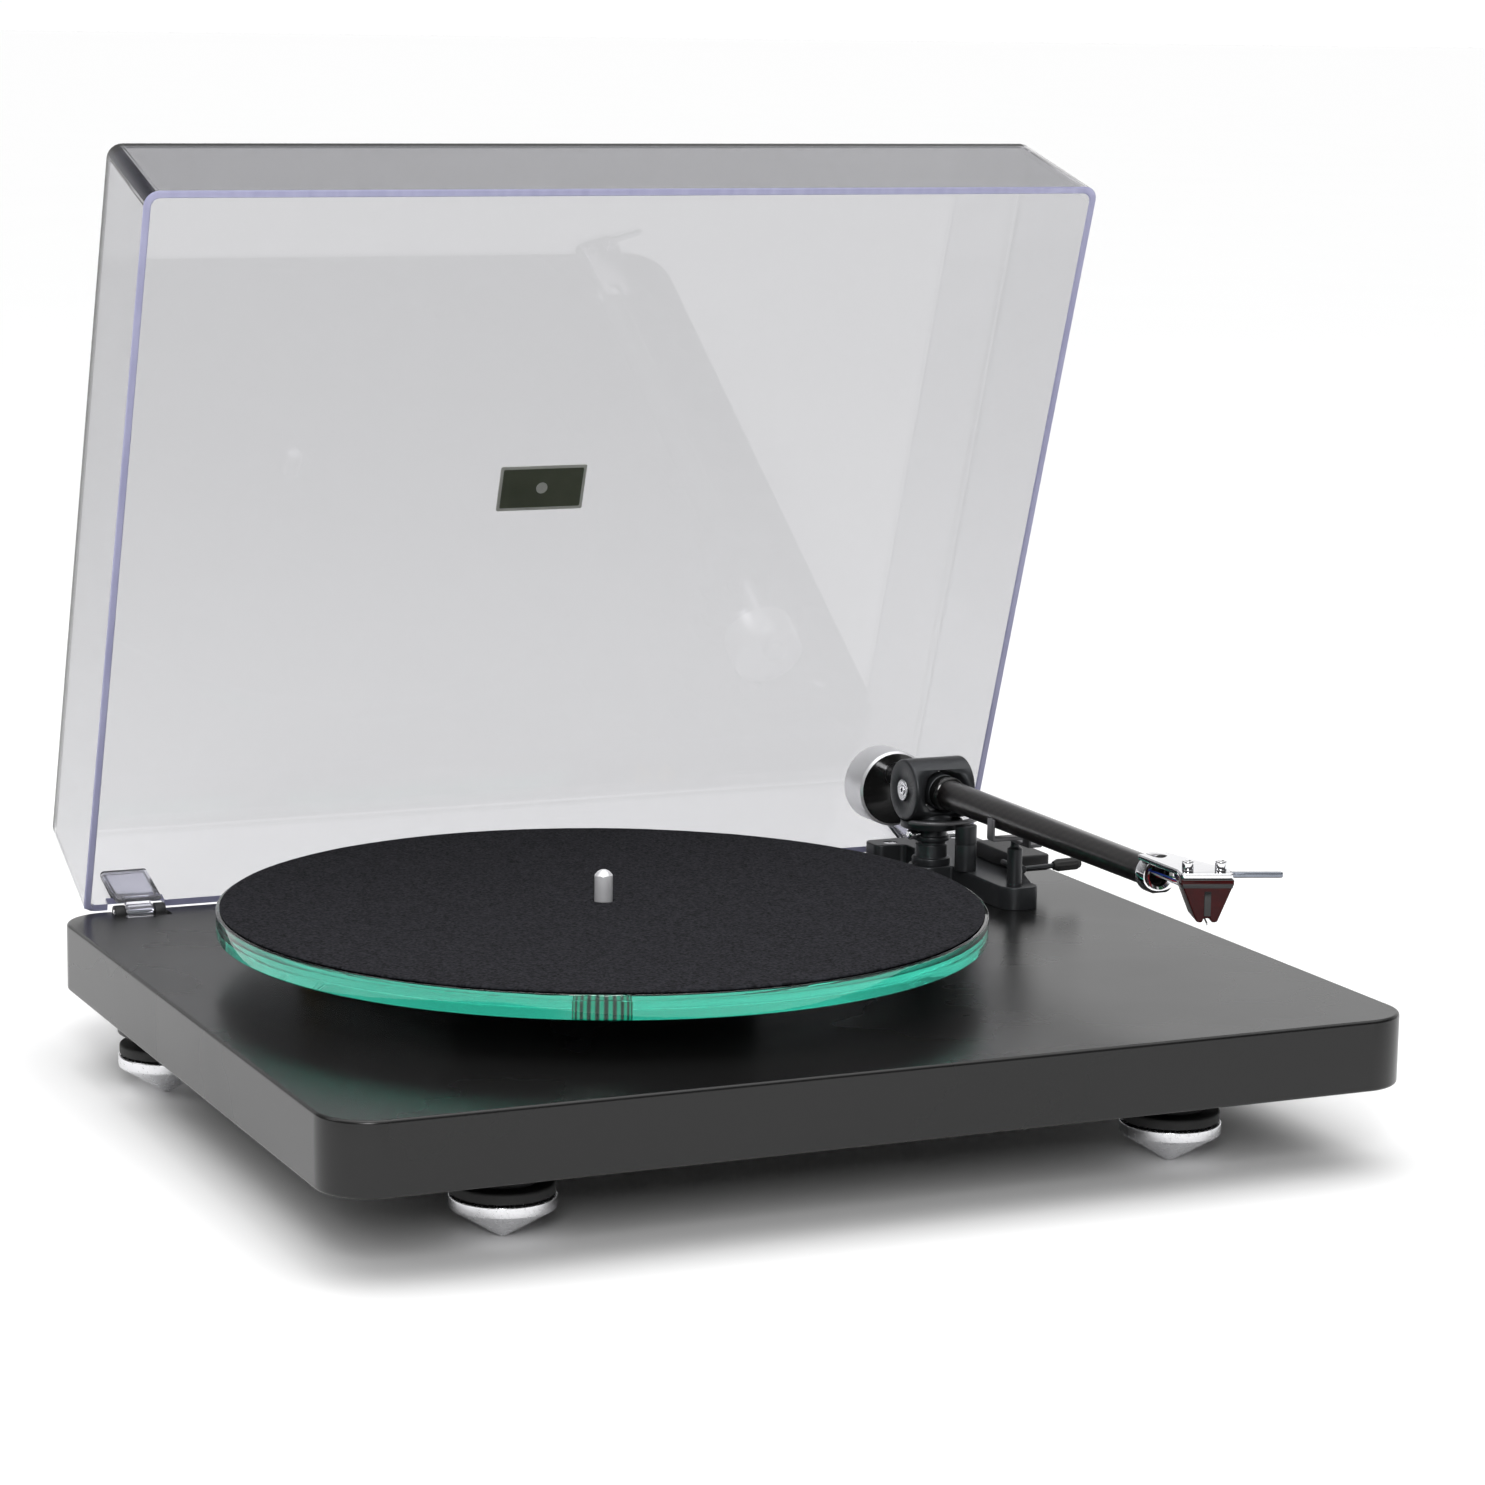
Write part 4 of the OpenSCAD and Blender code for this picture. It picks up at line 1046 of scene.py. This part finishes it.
def build_rest():
    low, high = box_mm("rest_post")
    z, post_r, neck_r = low.z, 3.2, 1.9
    post = rounded([(0, z + LIFT), (post_r, z + LIFT), (post_r, z + 15.6, 0.5), (neck_r, z + 16.4, 0.4),
                    (neck_r, high.z), (0, high.z)], False, 4)
    Shape().lathe(post, upright(centre("rest_post")), 64).done(
        "rest_pillar", "base", "black_anodised", [ANODISED], ["rest_post"], 28)
    lo, hi = box_mm("rest_cradle")
    prong, depth = lo.x + 16.2, lo.y + 5.5
    s = Shape().brick((prong, lo.y, lo.z + LIFT), (hi.x, hi.y, lo.z + 1.6), 0.3)
    s.brick((prong, lo.y, lo.z + 0.6), (prong + 1.5, depth, hi.z), 0.3)
    s.brick((lo.x, lo.y, lo.z + 3.8), (prong + 0.6, depth, lo.z + 5.3), 0.3)
    s.brick((lo.x - 0.5, lo.y, lo.z + 4.2), (lo.x + 0.5, depth, hi.z - 0.6), 0.25)
    s.done("rest_fork", "base", "steel", [ANODISED_LIGHT], ["rest_cradle"], 30)


def build_yoke():
    """A drum lying across the arm, bored through for the tube, on a disc that turns with it."""
    low, high = box_mm("bearing_yoke")
    across = facing((0, PIVOT.y, PIVOT.z), (1, 0, 0))
    drum = Shape().lathe(cylinder(13.2, low.x, high.x, 1.1, 1.1, 6), across, 128)
    yoke = drum.done("yoke_drum", "arm_yoke", "black_anodised", [ANODISED], ["bearing_yoke"], 34)
    mouth_r, waist_r, mouth, waist, outside = 10.4, 9.5, 10.5, 9.6, 25
    through = [(0, -outside), (mouth_r, -outside), (mouth_r, -mouth), (waist_r, -waist),
               (waist_r, waist), (mouth_r, mouth), (mouth_r, outside), (0, outside)]
    pin_bores = cylinder(2.0, low.x - 3, high.x + 3)
    carve(yoke, [Shape().lathe(through, facing(PIVOT, (0, 1, 0)), 96), Shape().lathe(pin_bores, across, 32)])
    for f in yoke.data.polygons:
        f.use_smooth = True

    z, bore, disc_r, hub_r = low.z, 3.05, 13.4, 8.0
    disc = rounded([(bore, z + LIFT), (disc_r, z + LIFT, 0.4), (disc_r, z + 3.2, 0.6), (9, z + 3.4, 0.6),
                    (hub_r + 0.2, z + 4.4, 0.4), (hub_r, z + 6), (bore, z + 6)], True, 4)
    Shape().lathe(disc, upright(PIVOT), 128, closed=True).done(
        "yoke_disc", "arm_yoke", "black_anodised", [ANODISED], (), 28)
    dress("yaw_shaft", STEEL)
    build_pivot_screws(low.x, high.x)


def build_pivot_screws(left, right):
    screws, nuts = Shape(), Shape()
    sunk, bore = 2, 2.15
    nut = rounded([(bore, 0.02), (4.6, 0.02, 0.1), (4.6, 0.45, 0.3), (4.0, 0.6, 0.1), (bore, 0.5, 0.1)],
                  True, 3)
    shank = rounded([(0, 0), (1.9, 0), (1.9, 4.6, 0.2), (1.5, 4.6), (1.5, 7.6, 0.4), (0, 7.6)], False, 2)
    for side, x in ((-1, left), (1, right)):
        out = facing((x, PIVOT.y, PIVOT.z), (side, 0, 0))
        nuts.lathe(nut, out, 64, closed=True)
        socket_head(screws, out @ Matrix.Translation(metres(0, 0, -sunk)), 2.0, 2.8, 1.7)
        screws.lathe(shank, facing((x - side * sunk, PIVOT.y, PIVOT.z), (-side, 0, 0)), 32)
    screws.done("pivot_screw_pair", "arm_yoke", "chrome", [CHROME], ["pivot_screws"], 30)
    nuts.done("pivot_ring_pair", "arm_yoke", "chrome", [STEEL], ["pivot_nuts"], 30)


def build_arm():
    forward = facing(PIVOT, (0, -1, 0))
    rear = size_mm("bearing_hub").y / 2
    length = PIVOT.y - TUBE_END
    big, small, mouth_r, mouth = size_mm("arm_tube").x / 2, 5.75, 4.4, length - 8
    profile = [(big - 1, rear), (big, rear + 0.05), (small, length - 0.2), (small - 0.2, length),
               (mouth_r, length), (mouth_r, mouth), (mouth_r - 0.2, mouth - 0.2), (0, mouth - 0.2)]
    Shape().lathe(profile, forward, 96).done("carbon_tube", "arm", "carbon_weave", [WEAVE], ["arm_tube"], 30)
    collar = rounded([(big, 11.1), (7.4, 11.1, 0.4), (7.4, 16.2, 0.9), (big, 17.0, 0.1)], True, 5)
    Shape().lathe(collar, forward, 96, closed=True).done(
        "black_collar", "arm", "black_plastic", [GLOSS_BLACK], ["tube_collar"], 30)
    Shape().lathe(cylinder(7.6, -rear, rear, 0.6, 0.6), forward, 64).done(
        "tilt_hub", "arm", "black_anodised", [ANODISED], ["bearing_hub"], 28)
    stub = cylinder(5, 0, size_mm("rear_stub").y, 0, 0.8)
    at = facing((PIVOT.x, box_mm("rear_stub")[0].y, PIVOT.z), (0, 1, 0))
    Shape().lathe(stub, at, 64).done("weight_stub", "arm", "steel", [STEEL], ["rear_stub"], 28)


def build_counterweight():
    """A steel drum with a glossy black front face, hung off-centre on the rear stub."""
    low, high = box_mm("counterweight")
    mid = centre("counterweight")
    r, length = (high.x - low.x) / 2, high.y - low.y
    at = facing((mid.x, low.y, mid.z), (0, 1, 0))
    side = rounded([(r - 1, 0.02), (r, 0.9, 0.3), (r, length - 0.9, 0.4), (r - 1, length, 0.3), (0, length)],
                   False, 3)
    front = [(0, 0.02), (r - 1.6, 0.02), (r - 1.3, 0.0), (r - 1, 0.02)]
    weight = Shape().lathe(side, at, 160)
    weight.lathe(front, at, 160, material=1)
    obj = weight.done("tungsten_weight", "weight", "turned_aluminium", [SATIN_STEEL, GLOSS_BLACK],
                      ["counterweight"], 26)
    on_stub = facing((PIVOT.x, low.y, PIVOT.z), (0, 1, 0))
    carve(obj, [Shape().lathe(cylinder(5.06, -3, length + 3), on_stub, 64)])


# ---------------------------------------------------------------- headshell and cartridge

SHELL_TURN = math.radians(-20.2)
SCREW_BACK = 8.0          # the two cartridge screws stand this far behind the front edge
SHELL_AT = (upright(centre("shell_screws")) @ Matrix.Rotation(SHELL_TURN, 4, "Z")
            @ Matrix.Translation(metres(0, -SCREW_BACK, 0)))
PLATE_Z = box_mm("cartridge_body")[1].z


def shell_point(x, y, z):
    """A point measured from the middle of the headshell's front edge, in world metres."""
    return SHELL_AT @ metres(x, y, z)


def build_headshell():
    neck, back = 6.6, TUBE_END + 2.5
    corners = [(-10.4, 7.5, 5), (-10, 0, 1.6), (10, 0, 1.6), (10.4, 9, 5)]
    placed = [(*in_mm(shell_point(x, y, 0))[:2], radius) for x, y, radius in corners]
    outline = rounded([(PIVOT.x - neck, back, 1), *placed, (PIVOT.x + neck, back, 1)], True, 5)
    plate_top = PLATE_Z + 2.2
    s = Shape().slab(outline, PLATE_Z + LIFT, plate_top, 0.55, Matrix(), 4)
    s.brick((8.6, 2.2, PLATE_Z + 0.1), (29.4, 5.0, plate_top), 0.5, SHELL_AT, corner=1.1, material=1)
    s.done("shell_plate", "arm", "chrome", [CHROME, DARK_CHROME], ["headshell"], 34)
    build_shell_clamp()
    heads = Shape()
    for x in (-6.35, 6.35):
        at = SHELL_AT @ Matrix.Translation(metres(x, SCREW_BACK, 0))
        socket_head(heads, at @ Matrix.Translation(metres(0, 0, plate_top + 0.05)), 2.3, 3.4, 2.0)
        heads.lathe(cylinder(1.2, PLATE_Z - 4, plate_top + 0.1), at, 24)
    heads.done("cartridge_screws", "arm", "chrome", [CHROME], ["shell_screws"], 30)


def build_shell_clamp():
    """The bright clamp round the tube's end: round below, flat on top, with a lug underneath."""
    at = facing((PIVOT.x, TUBE_END - 4.2, PIVOT.z), (0, 1, 0))
    radius, flat, lug, sides = 7.5, 6.9, 0.9, 48
    loops = []
    for shrink, h in ((0.5, 0), (0.12, 0.15), (0, 0.6), (0, 6.2), (0.2, 6.8)):
        r = radius - shrink
        loop = []
        for i in range(sides):
            t = 2 * math.pi * i / sides
            x, y = r * math.cos(t), min(r * math.sin(t), flat - shrink)
            if y < -r * 0.86 and abs(x) < r * 0.5:
                y -= lug
            loop.append(at @ metres(x, -y, h))
        loops.append(loop)
    mirror = Matrix.Scale(-1, 4, (0, 1, 0))
    for r, h in ((5.9, 6.8), (5.85, 4.3), (4.5, 4.3), (4.5, 0.8), (5.6, 0)):
        loops.append(circle(at @ mirror, r, h, sides))
    Shape().rings(loops, wrap=True).done("shell_clamp", "arm", "chrome", [CHROME], (), 34)


def build_cartridge():
    z = PLATE_Z
    to_front = Matrix(((1, 0, 0, 0), (0, 0, -1, 0), (0, 1, 0, 0), (0, 0, 0, 1)))
    at = SHELL_AT @ Matrix.Translation(metres(0, 17, 0)) @ to_front
    half = [(10, z - 0.05, 0.3), (10, z - 1.9, 0.4), (9.2, z - 3.4, 0.6), (3.9, z - 16.4, 1.2),
            (1.9, z - 16.5, 0.7), (1.2, z - 14.9, 0.5)]
    body = rounded([(-x, y, r) for x, y, r in half] + half[::-1], True, 4)
    s = Shape().slab(body, 0.1, 18, 0.5, at, 4)
    s.brick((-1.3, -1.35, z - 14.0), (1.3, -0.9, z - 4.5), 0.15, SHELL_AT, material=1)
    s.done("cartridge_shell", "arm", "red_translucent", [RED, GLOSS_BLACK], ["cartridge_body"], 34)
    top = Shape().brick((-9.95, -0.9, z - 1.9), (9.95, 16.9, z - 0.02), 0.25, SHELL_AT, corner=0.6)
    bracket = rounded([(-9.4, z - 3.3, 0.3), (9.4, z - 3.3, 0.3), (9.9, z - 1.5, 0.3), (-9.9, z - 1.5, 0.3)],
                      True, 2)
    top.slab(bracket, 0.05, 18.08, 0.3, at, 2)
    top.done("cartridge_bracket", "arm", "black_plastic", [PLASTIC], (), 34)
    needle = Shape()
    bend = [(8.4, z - 15.4), (3, z - 16.0), (-1.5, z - 16.8)]
    needle.rod([shell_point(0, y, height) for y, height in bend], 0.33, 16)
    needle.lathe([(0, 0), (0.12, 0.05), (0.32, 0.9), (0.3, 1.2), (0, 1.2)],
                 Matrix.Translation(shell_point(0, -1.4, z - 17.5)), 16)
    needle.done("stylus_needle", "arm", "steel", [STEEL], ["stylus"], 30)


LEADS = {          # each lead's colour, and its pin across and below the headshell's plate
    "blue": ((0.02, 0.06, 0.4), -4.5, 6),
    "white": ((0.7, 0.7, 0.68), -1.5, 8.5),
    "green": ((0.01, 0.22, 0.07), 1.5, 6),
    "red": ((0.45, 0.01, 0.02), 4.5, 8.5)}


def build_leads():
    """Four thin leads from the tube's mouth to the cartridge pins, each with a sleeve at its pin."""
    mouth = metres(PIVOT.x, TUBE_END + 1.5, PIVOT.z)
    steps = 14
    for n, (word, (color, x, drop)) in enumerate(LEADS.items()):
        pin = shell_point(x, 17.2, PLATE_Z - drop)
        start = mouth + metres(x * 0.35, 0, 1 - n * 0.8)
        bend = (pin + start) / 2 + metres(x * 0.25, 0, 1.2 - 1.3 * (n % 2))
        path = []
        for i in range(steps + 1):
            t = i / steps
            path.append(start * (1 - t) ** 2 + bend * 2 * t * (1 - t) + pin * t ** 2)
        s = Shape().rod(path, 0.32, 10)
        s.rod([path[-1] + (path[-4] - path[-1]) * k for k in (0, 0.5, 1.0)], 0.62, 12)
        sheath = moulded_plastic("lead_" + word, color, 0.35, 0.008)
        replaces = ["cartridge_leads"] if word == "red" else ()
        s.done("lead_" + word, "arm", "lead_sleeves", [sheath], replaces, 40)


# ---------------------------------------------------------------- controls and hidden works

def build_cue_lever():
    lever = joint_place("cue_turn")
    rise = math.radians(1.5)
    at = facing(lever, (math.cos(rise), 0, math.sin(rise)))
    low = box_mm("cue_lever")[0]
    length = size_mm("cue_lever").y
    axle = facing((lever.x, low.y, lever.z), (0, 1, 0))
    s = Shape().lathe(cylinder(1.9, 0, 3.4, 0.4, 0.4), axle, 48)
    s.lathe(cylinder(1.2, 3, length, 0, 0.3, 3), axle, 32)
    s.lathe(cylinder(1.1, 0, 17.2, 0, 0.2, 2), at, 32)
    s.done("cue_rod", "cue_lever", "black_anodised", [ANODISED], ["cue_lever"], 30)

    def ribs(angle, r, h):
        return r * (1 + 0.04 * math.cos(10 * angle)) if 17 < h < 27 else r

    neck_r, grip_r = 1.8, 2.55
    grip = rounded([(1.12, 15.3, 0.2), (neck_r, 15.3, 0.4), (grip_r, 17.3, 0.6), (grip_r, 26.3, 0.8),
                    (neck_r, 28.2, 0.7), (0, 28.3)], False, 4)
    Shape().lathe(grip, at, 80, flute=ribs).done(
        "cue_sleeve", "cue_lever", "belt_rubber", [RUBBER], ["cue_grip"], 40)


def dress_the_rest():
    kept = {
        PLASTIC: ("bottom_cover", "motor_plate", "switch_housing", "terminal_panel", "power_socket"),
        STEEL: ("motor_can", "motor_screws", "thrust_ball", "ground_post"),
        ANODISED_LIGHT: ("bearing_housing",),
        BRONZE: ("bearing_bush", "motor_pulley"),
        GILT: ("signal_sockets",),
        BOARD: ("control_board",),
        RUBBER: ("drive_belt",),
        CHROME: ("switch_lever",)}
    for material, nodes in kept.items():
        for node in nodes:
            dress(node, material)


# ---------------------------------------------------------------- floor, light and camera

def light_panel(name, place, target_z, w, h, power):
    """A rectangular lamp that points at a height above the middle of the floor."""
    light = bpy.data.lights.new(name, "AREA")
    light.shape = "RECTANGLE"
    light.size, light.size_y = w, h
    light.energy = power
    obj = bpy.data.objects.new(name, light)
    bpy.context.scene.collection.objects.link(obj)
    obj.location = place
    obj.rotation_mode = "QUATERNION"
    obj.rotation_quaternion = (Vector((0, 0, target_z)) - Vector(place)).to_track_quat("-Z", "Y")


def world_light():
    """A studio in three parts: a bright ceiling, a white backdrop behind and a dark room in front."""
    world = bpy.data.worlds.new("studio")
    bpy.context.scene.world = world
    world.use_nodes = True
    tree = world.node_tree
    sky = tree.nodes["Background"]
    x, y, z = split(tree, "Generated")
    away = math_node(tree, "ADD", math_node(tree, "MULTIPLY", x, 0.5), math_node(tree, "MULTIPLY", y, 0.87))
    walls = remap(tree, away, 0.08, 1.03, 0.25, 0.88)
    fade = remap(tree, z, 1, 0.25, 0.3, 0.6)
    ceiling = remap(tree, z, 0, 2.2, 0.6, 0.9)
    light = math_node(tree, "ADD", math_node(tree, "MULTIPLY", walls, fade), ceiling)
    tree.links.new(light, sky.inputs["Strength"])
    sky.inputs["Color"].default_value = (1, 1, 1, 1)


def build_stage():
    half, level = 45, -0.0002
    mesh = bpy.data.meshes.new("floor")
    bm = bmesh.new()
    corners = ((-half, -half), (half, -half), (half, half), (-half, half))
    bm.faces.new([bm.verts.new((x, y, level)) for x, y in corners])
    bm.to_mesh(mesh)
    bm.free()
    floor = bpy.data.objects.new("floor", mesh)
    bpy.context.scene.collection.objects.link(floor)
    mesh.materials.append(pale_floor())
    world_light()
    light_panel("overhead", (0.0, 0.1, 1.5), 0, 0.7, 0.6, 2.5)
    light_panel("front_left", (-0.9, -1.9, 1.15), 0.05, 0.6, 0.9, 25)
    light_panel("left_side", (-1.6, 0.2, 1.0), 0.05, 0.7, 0.7, 3)
    bpy.context.scene.view_settings.view_transform = "Standard"


CAMERA_STAND = (-0.65385, -1.45359, 0.43071)          # from the middle of the plinth, on the floor
CAMERA_TURN, CAMERA_DOWN, CAMERA_ROLL = (math.radians(a) for a in (24.5568, 10.4833, 0.9028))


def build_camera():
    """The photograph's viewpoint: turned right, looking down and rolled a little."""
    cam = bpy.data.cameras.new("camera")
    cam.sensor_width = 36
    cam.lens = 100.99
    cam.shift_x = 0.0039
    cam.shift_y = 0.0209
    cam.clip_end = 60
    obj = bpy.data.objects.new("camera", cam)
    bpy.context.scene.collection.objects.link(obj)
    aim = (Matrix.Rotation(-CAMERA_TURN, 4, "Z") @ Matrix.Rotation(math.pi / 2 - CAMERA_DOWN, 4, "X")
           @ Matrix.Rotation(CAMERA_ROLL, 4, "Z"))
    obj.matrix_world = upright(centre("plinth")) @ Matrix.Translation(CAMERA_STAND) @ aim
    bpy.context.scene.camera = obj


build_plinth()
build_feet()
build_platter()
build_cover()
build_hinge_bases()
build_arm_base()
build_column()
build_column_screw()
build_lift_cylinder()
build_lift_housing()
build_lift_bar()
build_rest()
build_yoke()
build_arm()
build_counterweight()
build_headshell()
build_cartridge()
build_leads()
build_cue_lever()
dress_the_rest()
build_stage()
build_camera()
